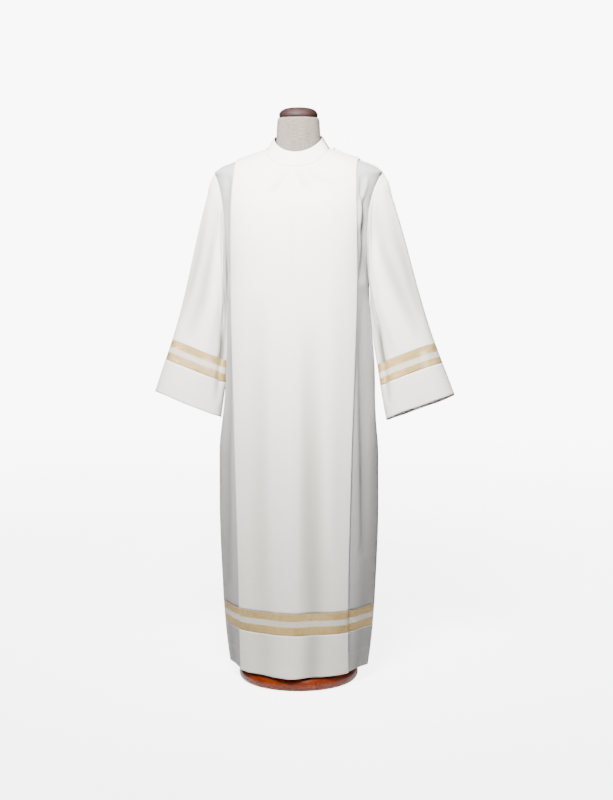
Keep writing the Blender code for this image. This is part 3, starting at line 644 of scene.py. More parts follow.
def makeCloth(name, values):
    material, w, shader = newFinish(name, 0.82, Sheen_Weight=0.18, Sheen_Roughness=0.45)
    place = w.place()
    yarn = w.effect(weave, {"Vector": w.metres(), "Pitch": values["pitch"], "Slub": 0.6})
    marks = w.effect(handling, {"Vector": place, "Broad": 4.5, "Fine": 120.0})
    colour = w.mix(w.math("MULTIPLY", marks["Patches"], 0.25), values["colour"], values["warm"])
    # Painted shade: grey on the recessed pleat layers, side panels and sleeve heads.
    colour = w.mix(w.attribute("recess"), colour, values["recessShadeColour"])
    # Painted shade: darker and yellower where the creases press the cloth in.
    creaseShadeAmount = w.math("MULTIPLY", w.attribute("hollow"), values["foldShade"])
    colour = w.mix(creaseShadeAmount, colour, values["shaded"])
    w.feed(shader["Base Color"], w.tone(colour, w.ramp(yarn["Slubs"], 0.35, 0.65, 0.955, 1.02)))
    w.feed(shader["Roughness"], w.ramp(yarn["Slubs"], 0.3, 0.7, *values["roughness"]))
    soft = w.bump(w.noise(place, 34.0, 3.0), 0.25, values["softDepth"])
    w.feed(shader["Normal"], w.bump(yarn["Height"], 0.55, values["weaveDepth"], soft))
    return material


# Openwork thread: gold above and below an ivory middle, each bar wrapped with thread.
openworkFinish = {
    "gold": (0.600, 0.390, 0.130),
    "paleGold": (0.790, 0.590, 0.290),
    "ivory": (0.800, 0.760, 0.660),
    "goldRows": (4.0, 7.0),
    "pitch": 0.0057,
    "wrapPitch": 0.0008,
    "wrapDepth": 0.0002,
}


def makeOpenwork(name, values):
    material, w, shader = newFinish(name, 0.5, Sheen_Weight=0.1)
    split = w.split(w.metres())
    row = w.math("DIVIDE", split["Y"], values["pitch"])
    low, high = values["goldRows"]
    middle = w.math("MULTIPLY", w.math("GREATER_THAN", row, low), w.math("LESS_THAN", row, high))
    cell = w.join(w.math("FLOOR", w.math("DIVIDE", split["X"], values["pitch"])), w.math("FLOOR", row))
    chance = w.add("ShaderNodeTexWhiteNoise", {"Vector": cell}).outputs["Value"]
    gold = w.mix(w.ramp(chance, 0.0, 1.0, 0.1, 0.6), values["gold"], values["paleGold"])
    along = w.math("MULTIPLY", w.math("ADD", split["X"], split["Y"]), 2 * math.pi / values["wrapPitch"])
    turns = w.math("SINE", along)
    colour = w.mix(middle, gold, values["ivory"])
    # Painted shade and highlight: darker in the grooves between the wraps, lighter on their crowns.
    w.feed(shader["Base Color"], w.tone(colour, w.ramp(turns, -1.0, 1.0, 0.80, 1.06)))
    w.feed(shader["Metallic"], w.ramp(middle, 0.0, 1.0, 0.35, 0.0))
    w.feed(shader["Roughness"], w.ramp(middle, 0.0, 1.0, 0.42, 0.75))
    w.feed(shader["Normal"], w.bump(turns, 0.6, values["wrapDepth"]))
    return material


def makeThread(name, colour, roughness=0.7):
    material, w, shader = newFinish(name, roughness)
    wave = {"Vector": w.place(), "Scale": 520.0, "Distortion": 1.0}
    twist = w.add("ShaderNodeTexWave", wave, bands_direction="DIAGONAL").outputs["Fac"]
    # Painted shade: darker along the grooves of the twist.
    w.feed(shader["Base Color"], w.mix(twist, tuple(0.82 * value for value in colour), colour))
    w.feed(shader["Normal"], w.bump(twist, 0.5, 0.0001))
    return material


linenFinish = {
    "thin": (0.100, 0.080, 0.066),
    "thick": (0.260, 0.222, 0.190),
    "patch": (0.250, 0.205, 0.170),
    "speck": (0.130, 0.100, 0.080),
    "pitch": 0.0011,
    "weaveDepth": 0.0005,
}


def makeLinen(name, values):
    material, w, shader = newFinish(name, 0.88, Sheen_Weight=0.12)
    yarn = w.effect(weave, {"Vector": w.metres(), "Pitch": values["pitch"], "Slub": 1.0, "Diagonal": 0.35})
    marks = w.effect(handling, {"Vector": w.place(), "Broad": 14.0, "Fine": 260.0})
    colour = w.mix(w.ramp(yarn["Slubs"], 0.40, 0.60), values["thin"], values["thick"])
    colour = w.mix(w.math("MULTIPLY", marks["Patches"], 0.30), colour, values["patch"])
    w.feed(shader["Base Color"], w.mix(w.math("MULTIPLY", marks["Specks"], 0.35), colour, values["speck"]))
    w.feed(shader["Normal"], w.bump(yarn["Height"], 0.8, values["weaveDepth"]))
    return material


mahoganyFinish = {
    "dark": (0.080, 0.006, 0.001),
    "mid": (0.230, 0.026, 0.002),
    "light": (0.300, 0.045, 0.003),
    "roughness": 0.26,
    "coat": 0.40,
    "ringWidth": 0.016,
}
darkWoodFinish = {
    "dark": (0.008, 0.0015, 0.0012),
    "mid": (0.020, 0.004, 0.003),
    "light": (0.028, 0.006, 0.005),
    "roughness": 0.60,
    "coat": 0.0,
    "ringWidth": 0.010,
}


def makeWood(name, values):
    roughness, dark = values["roughness"], values["dark"]
    material, w, shader = newFinish(name, roughness, Coat_Weight=values["coat"], Coat_Roughness=0.12)
    place = w.place()
    grain = w.effect(woodGrain, {"Vector": place, "Ring Width": values["ringWidth"], "Length": 14.0})
    marks = w.effect(handling, {"Vector": place, "Broad": 9.0, "Fine": 180.0})
    film = w.effect(dust, {"Vector": place, "Amount": 0.02})
    colour = w.mix(grain["Rings"], values["mid"], values["light"])
    colour = w.mix(w.math("MULTIPLY", grain["Fibres"], 0.55), colour, dark)
    colour = w.mix(w.math("MULTIPLY", grain["Pores"], 0.6), colour, tuple(0.4 * value for value in dark))
    colour = w.mix(w.math("MULTIPLY", marks["Patches"], 0.2), colour, dark)
    w.feed(shader["Base Color"], w.mix(film["Film"], colour, (0.60, 0.56, 0.52)))
    w.feed(shader["Roughness"], w.ramp(marks["Patches"], 0.0, 1.0, roughness * 0.8, roughness * 1.35))
    w.feed(shader["Normal"], w.bump(grain["Fibres"], 0.12, 0.0006))
    return material


def makeMetal(name, colour, roughness, along):
    material, w, shader = newFinish(name, roughness, 1.0)
    place = w.place()
    brushed = w.noise(w.stretch(place, along), 1.0, 3.0)
    marks = w.effect(handling, {"Vector": place, "Broad": 30.0, "Fine": 420.0})
    worn = w.math("MULTIPLY", marks["Patches"], 0.35)
    w.feed(shader["Base Color"], w.mix(worn, colour, tuple(0.8 * value for value in colour)))
    w.feed(shader["Roughness"], w.ramp(brushed, 0.3, 0.7, roughness * 0.75, roughness * 1.3))
    w.feed(shader["Normal"], w.bump(brushed, 0.25, 0.0002))
    return material


ivoryCloth = makeCloth("ivoryCloth", clothFinish)
goldOpenwork = makeOpenwork("goldOpenwork", openworkFinish)
stitchThread = makeThread("stitchThread", (0.80, 0.79, 0.73))
beigeLinen = makeLinen("beigeLinen", linenFinish)
mahogany = makeWood("mahogany", mahoganyFinish)
darkWood = makeWood("darkWood", darkWoodFinish)
steel = makeMetal("steel", (0.56, 0.56, 0.57), 0.32, (300.0, 300.0, 4.0))
zipNylon = makeThread("zipNylon", (0.66, 0.63, 0.55), 0.45)
zipTape = makeThread("zipTape", (0.10, 0.09, 0.08), 0.8)
nickel = makeMetal("nickel", (0.62, 0.60, 0.57), 0.28, (80.0, 500.0, 500.0))
print("finishes mixed")


panelShape = {"wall": 0.0012, "creaseShadeFullAt": 0.020, "upperRows": 72, "rowStep": 0.0075, "bandTop": 0.230}
hemShape = {"top": 0.167, "stitch": 0.099, "bottom": 0.045, "wall": 0.0016, "rows": 28, "waver": 0.0006}

# Openwork: an even net of square holes, gold above and below, ivory in the middle.
openwork = {"pitch": 0.0057, "open": 0.32, "wall": 0.0010, "rows": 11, "seam": 0.00015}

# Creases pressed into the panels: points (across, height), width, depth, lean to one side.
frontPanel = {
    "creases": [
        ([(0.000, 1.500), (0.001, 1.250), (-0.008, 0.900), (-0.010, 0.660), (-0.009, 0.250), (-0.002, 0.060)],
         0.0035, 0.0016, 0.0),
        ([(-0.009, 1.10), (-0.014, 0.700), (-0.012, 0.240)], 0.030, -0.0045, 0.0),
        ([(0.047, 1.02), (0.050, 0.700), (0.046, 0.400), (0.044, 0.240)], 0.026, 0.0075, 0.25),
        ([(0.110, 1.20), (0.112, 0.800), (0.108, 0.400)], 0.024, -0.0048, 0.0),
        ([(-0.095, 1.10), (-0.090, 0.750), (-0.094, 0.300)], 0.030, 0.0048, -0.2),
        ([(0.012, 1.490), (0.026, 1.462), (0.050, 1.430)], 0.010, 0.0049, 0.3),
        ([(-0.020, 1.490), (-0.040, 1.455), (-0.070, 1.420)], 0.013, 0.0038, -0.3),
        ([(0.030, 1.500), (0.070, 1.470), (0.120, 1.450)], 0.012, 0.0034, 0.2),
        ([(0.188, 1.470), (0.196, 1.380), (0.198, 1.280), (0.190, 1.190)], 0.007, 0.0114, 0.3),
        ([(0.205, 1.470), (0.190, 1.400), (0.186, 1.330)], 0.006, -0.0085, 0.0),
        ([(-0.190, 1.470), (-0.196, 1.380), (-0.192, 1.300), (-0.186, 1.200)], 0.008, 0.0123, -0.3),
        ([(0.196, 1.150), (0.192, 0.950), (0.200, 0.700), (0.202, 0.400)], 0.011, 0.0095, 0.2),
        ([(-0.196, 1.120), (-0.190, 0.900), (-0.200, 0.640), (-0.200, 0.300)], 0.012, 0.0104, -0.2),
    ],
    "troughs": frontTroughs,
}

backPanel = {
    "creases": [
        ([(0.000, 1.530), (-0.002, 1.200), (0.006, 0.850), (0.008, 0.500), (0.004, 0.060)], 0.0035, 0.0015, 0.0),
        ([(-0.060, 1.05), (-0.056, 0.700), (-0.060, 0.240)], 0.028, 0.0069, 0.2),
        ([(0.074, 1.00), (0.078, 0.640), (0.072, 0.260)], 0.028, 0.0060, -0.2),
        ([(0.012, 1.16), (0.016, 0.700), (0.010, 0.300)], 0.030, -0.0045, 0.0),
        ([(-0.040, 1.540), (-0.070, 1.490), (-0.110, 1.460)], 0.012, 0.0042, 0.2),
        ([(0.030, 1.540), (0.060, 1.495), (0.120, 1.465)], 0.013, 0.0038, -0.2),
        ([(0.190, 1.470), (0.196, 1.370), (0.192, 1.270), (0.186, 1.180)], 0.009, 0.0104, 0.2),
        ([(-0.192, 1.465), (-0.197, 1.360), (-0.193, 1.250), (-0.187, 1.170)], 0.009, 0.0114, -0.2),
        ([(0.196, 1.120), (0.190, 0.900), (0.200, 0.600), (0.200, 0.300)], 0.012, 0.0091, 0.2),
        ([(-0.196, 1.140), (-0.191, 0.930), (-0.200, 0.680), (-0.201, 0.350)], 0.012, 0.0099, -0.2),
    ],
    "troughs": backTroughs,
}
panels = ((-1, "front", frontPanel), (1, "back", backPanel))


# Heights from the shoulder to the armpit, each with its share of the way down, then on to the band.
def upperHeights(column, facing):
    down = (1 - np.cos(np.pi * np.arange(panelShape["upperRows"]) / panelShape["upperRows"])) / 2
    top = columnTop(column, facing)[1]
    count = int((bodyShape["armpit"] - panelShape["bandTop"]) / panelShape["rowStep"]) + 1
    hanging = np.linspace(bodyShape["armpit"], panelShape["bandTop"] + openwork["seam"], count)
    heights = np.concatenate([mix(top, bodyShape["armpit"], down), hanging])
    return heights, np.concatenate([down, np.ones(len(hanging))])


def levelGrid(facing, panel, top, bottom, rows):
    heights = np.linspace(top, bottom, rows)
    return panelGrid(facing, lambda column: (heights, np.ones(rows)), panel)


def hangCloth(name, grid, wall, facing, node):
    points, pressed, layers = grid
    # Painted shade: darker where creases and troughs press the cloth in, grey on the recessed pleat layers and side
    # panels.
    shades = {"hollow": pressed / panelShape["creaseShadeFullAt"], "recess": layers / 2}
    piece = clothMesh(name, points, ivoryCloth, wall, outward=(0, facing, 0), **shades)
    return standFor(piece, node)


def buildPanel(facing, label, panel):
    grid = panelGrid(facing, lambda column: upperHeights(column, facing), panel)
    return hangCloth(f"alb_{label}_panel", grid, panelShape["wall"], facing, label), grid[0]


def buildHem(facing, label, panel):
    top, bottom = hemShape["top"], hemShape["bottom"]
    grid = levelGrid(facing, panel, top - openwork["seam"], bottom, hemShape["rows"])
    across, _, height = np.moveaxis(grid[0], -1, 0)
    wave = np.sin(across * 47 + facing) + 0.6 * np.sin(across * 91 + 2 * facing)
    grid[0][:, :, 2] += ease((top - height) / (top - bottom)) * hemShape["waver"] * wave
    return hangCloth(f"alb_{label}_hem", grid, hemShape["wall"], facing, f"hem_{label}"), grid[0]


panelCloths = [buildPanel(*side) for side in panels]
hemCloths = [buildHem(*side) for side in panels]
print("panels and hems hung")


def netTree():
    inputs = [("Geometry", geometry, None), ("Open Share", number, None), ("Thread", finish, None)]
    tree, w, start, end = newGroup("openworkNet", inputs, [("Geometry", geometry)], "GeometryNodeTree")
    values = {"Mesh": start["Geometry"], "Offset Scale": 0.0, "Individual": True}
    inset = w.add("GeometryNodeExtrudeMesh", values, mode="FACES").outputs
    values = {"Geometry": inset["Mesh"], "Selection": inset["Top"], "Scale": start["Open Share"]}
    shrunk = w.add("GeometryNodeScaleElements", values).outputs["Geometry"]
    values = {"Geometry": shrunk, "Selection": inset["Top"]}
    endTree(w, w.add("GeometryNodeDeleteGeometry", values, domain="FACE").outputs["Geometry"], start, end)
    return tree


# Rows of stitches or teeth: one small made piece set along a path, square to the cloth.
def rowTree():
    inputs = [("Geometry", geometry, None), ("Stitch", "NodeSocketObject", None), ("Pitch", number, None),
              ("Uneven", number, None), ("Seed", "NodeSocketInt", None), ("Thread", finish, None)]
    tree, w, start, end = newGroup("stitchRow", inputs, [("Geometry", geometry)], "GeometryNodeTree")
    curve = w.add("GeometryNodeMeshToCurve", {"Mesh": start["Geometry"]}).outputs["Curve"]
    spaced = w.add("GeometryNodeResampleCurve", mode="LENGTH")
    w.feed(spaced.inputs["Curve"], curve)
    w.feed(spaced.inputs["Length"], start["Pitch"])
    outward = w.add("GeometryNodeInputNamedAttribute", data_type="FLOAT_VECTOR")
    outward.inputs["Name"].default_value = "outward"
    tangent = w.add("GeometryNodeInputTangent").outputs["Tangent"]
    turned = w.add("FunctionNodeAlignRotationToVector", {"Vector": outward.outputs["Attribute"]}, axis="Z")
    values = {"Rotation": turned.outputs["Rotation"], "Vector": tangent}
    turned = w.add("FunctionNodeAlignRotationToVector", values, axis="X", pivot_axis="Z")
    sizes = {2: w.math("SUBTRACT", 1.0, start["Uneven"]), 3: w.math("ADD", 1.0, start["Uneven"])}
    scale = w.add("FunctionNodeRandomValue", {**sizes, "Seed": start["Seed"]}).outputs[1]
    single = w.add("GeometryNodeObjectInfo", {"Object": start["Stitch"]}).outputs["Geometry"]
    values = {"Points": spaced.outputs["Curve"], "Instance": single, "Rotation": turned.outputs["Rotation"]}
    placed = w.add("GeometryNodeInstanceOnPoints", {**values, "Scale": scale}).outputs["Instances"]
    endTree(w, placed, start, end)
    return tree


def endTree(w, made, start, end):
    whole = w.add("GeometryNodeRealizeInstances", {"Geometry": made}).outputs["Geometry"]
    values = {"Geometry": whole, "Material": start["Thread"]}
    w.feed(end["Geometry"], w.add("GeometryNodeSetMaterial", values).outputs["Geometry"])


# Runs a tree on a piece and keeps its result as the plain mesh.
def growNodes(piece, tree, values):
    grown = piece.modifiers.new(tree.name, "NODES")
    grown.node_group = tree
    sockets = {item.name: item.identifier for item in tree.interface.items_tree if item.in_out == "INPUT"}
    for name, value in values.items():
        grown[sockets[name]] = value
    bpy.context.view_layer.update()
    evaluated = piece.evaluated_get(bpy.context.evaluated_depsgraph_get())
    mesh = bpy.data.meshes.new_from_object(evaluated)
    piece.modifiers.remove(grown)
    mesh.name = piece.name
    piece.data = mesh


openworkNet, stitchRow = netTree(), rowTree()
stitch = {"length": 0.0026, "radius": 0.00034, "rise": 0.00045, "pitch": 0.0034, "uneven": 0.10, "seed": 11}
tooth = {"length": 0.0011, "width": 0.0023, "height": 0.0005, "pitch": 0.0019, "uneven": 0.02, "seed": 3}


def templateObject(name, points, faces):
    mesh = bpy.data.meshes.new(name)
    mesh.from_pydata(points, [], faces)
    mesh.shade_smooth()
    return addObject(name, mesh)


# A short bar of thread whose ends dip into the cloth.
def stitchTemplate(values, sides=6, rings=5):
    points, faces = [], []
    for i in range(rings):
        swell = math.sin(math.pi * i / (rings - 1))
        radius = values["radius"] * (0.4 + 0.6 * swell)
        for j in range(sides):
            turn = 2 * math.pi * j / sides
            along = values["length"] * (i / (rings - 1) - 0.5)
            points.append((along, radius * math.cos(turn), values["rise"] * (swell - 0.6) + radius * math.sin(turn)))
    for i in range(rings - 1):
        for j in range(sides):
            after = (j + 1) % sides
            faces.append((i * sides + j, (i + 1) * sides + j, (i + 1) * sides + after, i * sides + after))
    faces.append(tuple(range(sides)))
    faces.append(tuple(reversed(range((rings - 1) * sides, rings * sides))))
    return templateObject("threadStitch", points, faces)


# A zip tooth: a low block with a rounded, narrower top.
def toothTemplate(values):
    points, faces = [], []
    for share, rise in ((1.0, 0.0), (1.0, 0.45), (0.8, 0.85), (0.45, 1.0)):
        long, wide = values["length"] / 2 * share, values["width"] / 2 * share
        cut = 0.3 * min(long, wide)
        outline = [(long, wide - cut), (long - cut, wide), (cut - long, wide), (-long, wide - cut)]
        outline += [(-x, -y) for x, y in outline]
        points += [(x, y, rise * values["height"]) for x, y in outline]
    for i in range(3):
        for j in range(8):
            after = (j + 1) % 8
            faces.append((8 * i + j, 8 * i + after, 8 * i + 8 + after, 8 * i + 8 + j))
    faces += [tuple(reversed(range(8))), tuple(range(24, 32))]
    return templateObject("zipTooth", points, faces)


threadStitch, zipTooth = stitchTemplate(stitch), toothTemplate(tooth)


# Sews along one row of a grid of cloth, lifted on to the face that looks toward a direction.
def sewSeam(name, points, row, lift, toward, keep=None, closed=False, asTeeth=False):
    chosen = np.arange(points.shape[1]) if keep is None else np.flatnonzero(keep)
    across = np.gradient(points, axis=1)[row, chosen]
    down = np.gradient(points, axis=0)[row, chosen]
    outward = unit(np.cross(across, down))
    outward *= np.sign((outward * np.broadcast_to(toward, points.shape)[row, chosen]).sum(axis=-1).mean())
    path = points[row, chosen] + outward * lift
    if closed:
        path, outward = np.concatenate([path, path[:1]]), np.concatenate([outward, outward[:1]])
    mesh = bpy.data.meshes.new(name)
    mesh.from_pydata(path.tolist(), [(i, i + 1) for i in range(len(path) - 1)], [])
    facing = mesh.attributes.new("outward", "FLOAT_VECTOR", "POINT")
    facing.data.foreach_set("vector", outward.astype(np.float32).ravel())
    piece = addObject(name, mesh)
    template, values, thread = (zipTooth, tooth, zipNylon) if asTeeth else (threadStitch, stitch, stitchThread)
    sizes = {"Stitch": template, "Pitch": values["pitch"], "Uneven": values["uneven"], "Seed": values["seed"]}
    growNodes(piece, stitchRow, {**sizes, "Thread": thread})
    piece.data.shade_smooth()
    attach(piece, clothBody)
    return piece


# The same cloth with cells of one pitch, starting afresh at each fold, where the cells are smaller.
def evenGrid(points, pitch, folds, closed=False):
    wrapped = closeRound(points, closed)
    lengths = np.concatenate([[0.0], np.cumsum(np.linalg.norm(np.diff(wrapped, axis=1), axis=2).mean(axis=0))])
    ends = [0, *folds, len(lengths) - 1]
    places = [np.zeros(1)]
    for first, last in zip(ends, ends[1:]):
        count = max(2, round((lengths[last] - lengths[first]) / pitch))
        places.append(np.linspace(lengths[first], lengths[last], count + 1)[1:])
    places = np.concatenate(places)
    if closed:
        places = places[:-1]
    even = np.empty((len(points), len(places), 3))
    for row in range(len(points)):
        for axis in range(3):
            even[row, :, axis] = np.interp(places, lengths, wrapped[row, :, axis])
    return even


def buildNet(name, points, folds, closed, outward, node, restsOn):
    even = evenGrid(points, openwork["pitch"], folds, closed)
    piece = clothMesh(name, even, goldOpenwork, 0, closed=closed, outward=outward)
    growNodes(piece, openworkNet, {"Open Share": openwork["open"], "Thread": goldOpenwork})
    shell = piece.modifiers.new("threadWall", "SOLIDIFY")
    shell.thickness = openwork["wall"]
    shell.offset = 0.0
    standFor(piece, node)


halfKinds = [column[0] for column in halfColumns(panelCells)]
panelKinds = ["centre" if kind in ("neck", "shoulder") else kind for kind in halfKinds[::-1] + halfKinds[1:]]
foldPlaces = [i for i in range(1, len(panelKinds)) if panelKinds[i] != panelKinds[i - 1]]


def buildSkirtBand(facing, label, panel):
    top, bottom = panelShape["bandTop"] - openwork["seam"], hemShape["top"] + openwork["seam"]
    points = levelGrid(facing, panel, top, bottom, openwork["rows"] + 1)[0]
    names = (f"alb_{label}_openwork", f"skirt_band_{label}", f"alb_{label}_panel")
    buildNet(names[0], points, foldPlaces, False, (0, facing, 0), *names[1:])


def sewHem(facing, label, piece, points):
    keep = np.array([kind in ("centre", "side") for kind in panelKinds])
    row = int(np.abs(points[:, 0, 2] - hemShape["stitch"]).argmin())
    sewn = sewSeam(f"alb_{label}_hem_stitches", points, row, hemShape["wall"] / 2, (0, facing, 0), keep)


for side in panels:
    buildSkirtBand(*side)
for (facing, label, _), hem in zip(panels, hemCloths):
    sewHem(facing, label, *hem)
print("skirt openwork cut and hems sewn")


# Sleeves: each ring is (across, height, half length, half depth). A crease's points are (degrees round, metres down):
# 0 degrees is the outer edge, 90 the front, 180 the inner edge and 270 the back.
sleeveShape = {
    "slope": math.radians(21),
    "backDrop": 0.15,
    "squareness": 2.4,
    "seamStep": 0.0011,
    "headSpread": 0.02,
    "swell": 0.14,
    "bandAboveRim": 0.153,
    "bandRise": 0.008,
    # Painted shade: grey on the sleeve's head near the armhole, darker in its creases and along its inner edge.
    "recessDown": 0.12,
    "recessFrom": 0.6,
    "creaseShadeFullAt": 0.010,
    "innerTurn": 2.75,
    "innerSpread": 0.42,
    "innerShade": 0.55,
    "bandDepth": 0.062,
    "upperLength": 0.53,
    "seam": 0.0003,
    "seamLean": 0.45,
    "rowPower": 1.25,
    "waver": 0.0008,
    "girth": 0.075,
    "turns": 128,
    "upperRows": 96,
    "wall": 0.0012,
    "cuffWall": 0.0016,
    "cuffRows": 22,
    "stitchAboveRim": 0.058,
    "headFade": 0.03,
    "innerFade": 0.2,
}

# The two rounds of the sleeve's head, which meet across its outer edge.
headRidges = [
    ([(turn - 35, 0.040), (turn, 0.032), (turn + 35, 0.040)], 0.026, -0.0040, 0.0) for turn in (0, 360)
]

rightSleeve = {
    "name": "right",
    "side": -1,
    "band": (0.296, 0.966, 0.086, 0.064),
    "rim": (0.330, 0.8135, 0.104, 0.066),
    "creases": [
        ([(70, 0.020), (98, 0.070), (124, 0.140), (140, 0.230), (146, 0.340)], 0.006, 0.0070, 0.4),
        ([(104, 0.018), (122, 0.060), (138, 0.120), (150, 0.200)], 0.005, 0.0055, -0.3),
        ([(86, 0.060), (112, 0.130), (130, 0.210), (138, 0.300)], 0.009, -0.0050, 0.0),
        ([(60, 0.060), (74, 0.190), (80, 0.330), (76, 0.470)], 0.020, 0.0056, 0.1),
        ([(118, 0.200), (110, 0.340), (108, 0.520), (104, 0.640)], 0.018, -0.0064, 0.0),
        ([(30, 0.120), (38, 0.280), (36, 0.430)], 0.022, 0.0045, 0.0),
        ([(250, 0.030), (238, 0.120), (226, 0.260)], 0.014, 0.0088, -0.2),
        ([(296, 0.090), (284, 0.240), (280, 0.420)], 0.020, 0.0064, 0.1),
        ([(232, 0.300), (244, 0.430), (250, 0.600)], 0.018, 0.0064, 0.0),
        ([(180, 0.130), (182, 0.300), (180, 0.480), (178, 0.640)], 0.024, -0.0070, 0.0),
        *headRidges,
        ([(148, 0.360), (154, 0.470), (150, 0.630)], 0.014, 0.0072, 0.1),
    ],
}

leftSleeve = {
    "name": "left",
    "side": 1,
    "band": (0.322, 0.960, 0.086, 0.064),
    "rim": (0.358, 0.8135, 0.105, 0.066),
    "creases": [
        ([(60, 0.016), (86, 0.050), (116, 0.100), (136, 0.180), (142, 0.300)], 0.006, 0.0075, 0.3),
        ([(84, 0.012), (106, 0.034), (132, 0.060), (150, 0.100)], 0.005, 0.0065, -0.3),
        ([(98, 0.060), (120, 0.110), (134, 0.200), (138, 0.280)], 0.009, -0.0055, 0.0),
        ([(108, 0.008), (128, 0.024), (150, 0.044)], 0.005, 0.0060, 0.2),
        ([(60, 0.050), (70, 0.180), (66, 0.340), (60, 0.480)], 0.021, 0.0056, 0.1),
        ([(112, 0.260), (104, 0.380), (96, 0.520), (92, 0.640)], 0.018, -0.0067, 0.0),
        ([(34, 0.110), (30, 0.260), (34, 0.420)], 0.022, 0.0042, 0.0),
        ([(246, 0.040), (234, 0.140), (230, 0.280)], 0.014, 0.0088, -0.2),
        ([(290, 0.070), (282, 0.220), (286, 0.400)], 0.020, 0.0061, 0.1),
        ([(238, 0.320), (250, 0.450), (246, 0.620)], 0.018, 0.0067, 0.0),
        ([(182, 0.130), (186, 0.300), (186, 0.480), (182, 0.640)], 0.030, -0.0120, 0.0),
        *headRidges,
        ([(144, 0.330), (152, 0.460), (146, 0.630)], 0.014, 0.0080, 0.1),
    ],
}


def sleeveRing(ring, side, turn):
    across, height, halfLength, halfDepth = ring
    power = 2 / sleeveShape["squareness"]
    long = halfLength * signedPower(np.cos(turn), power)
    deep = halfDepth * signedPower(np.sin(turn), power)
    slope = sleeveShape["slope"]
    high = height + math.sin(slope) * long + sleeveShape["backDrop"] * deep
    return np.stack([side * (across + math.cos(slope) * long), -deep, high], axis=-1)


def upperSleeve(values, turn, share):
    side = values["side"]
    middle = (bodyShape["shoulderTip"] + bodyShape["armpit"]) / 2
    reach = (bodyShape["shoulderTip"] - bodyShape["armpit"]) / 2
    height = middle + reach * np.cos(turn)
    edge = side * readShape(bodyShape, "halfWidth", height)
    start = np.stack([edge, -np.copysign(armholeDepth(height), np.sin(turn)), height], axis=-1)
    end = sleeveRing(values["band"], side, turn)
    length = np.linalg.norm(end - start, axis=-1, keepdims=True)
    arrive = unit(sleeveRing(values["rim"], side, turn) - end)
    outward = side * sleeveShape["headSpread"] * (1 + np.cos(turn)) / 2
    leave = unit(arrive + np.stack([outward, -sleeveShape["swell"] * np.sin(turn), 0 * turn], axis=-1))
    start = start + unit(np.array([side, 0.0, 0.0]) + leave * sleeveShape["seamLean"]) * sleeveShape["seamStep"]
    share = share[:, None, None] * (1 - sleeveShape["bandRise"] / length)
    points = start * ((1 + 2 * share) * (1 - share) ** 2) + end * (share**2 * (3 - 2 * share))
    return points + leave * (length * share * (1 - share) ** 2) + arrive * (length * share**2 * (share - 1))


def lowerSleeve(values, turn, below):
    start = sleeveRing(values["band"], values["side"], turn)
    rim = sleeveRing(values["rim"], values["side"], turn)
    return start + (rim - start) * (below / sleeveShape["bandAboveRim"])[:, None, None]


def tubeOutward(points):
    wrapped = np.concatenate([points[:, -1:], points, points[:, :1]], axis=1)
    outward = unit(np.cross(np.gradient(points, axis=0), wrapped[:, 2:] - wrapped[:, :-2]))
    middle = points.mean(axis=1, keepdims=True)
    return outward * np.sign((outward * (points - middle)).sum(axis=-1).mean())


def pressSleeve(values, points, turn, down, fadeTop=True):
    girth = sleeveShape["girth"]
    creases = [
        ([(math.radians(angle) * girth, metres) for angle, metres in path], width, deep, lean)
        for path, width, deep, lean in values["creases"]
    ]
    u = np.broadcast_to(turn * girth, points.shape[:2])
    v = np.broadcast_to(down[:, None], points.shape[:2])
    pressed = creaseDepth(creases, u, v)
    if fadeTop:
        pressed = pressed * ease(down / sleeveShape["headFade"])[:, None]
    return points - tubeOutward(points) * pressed[..., None], pressed


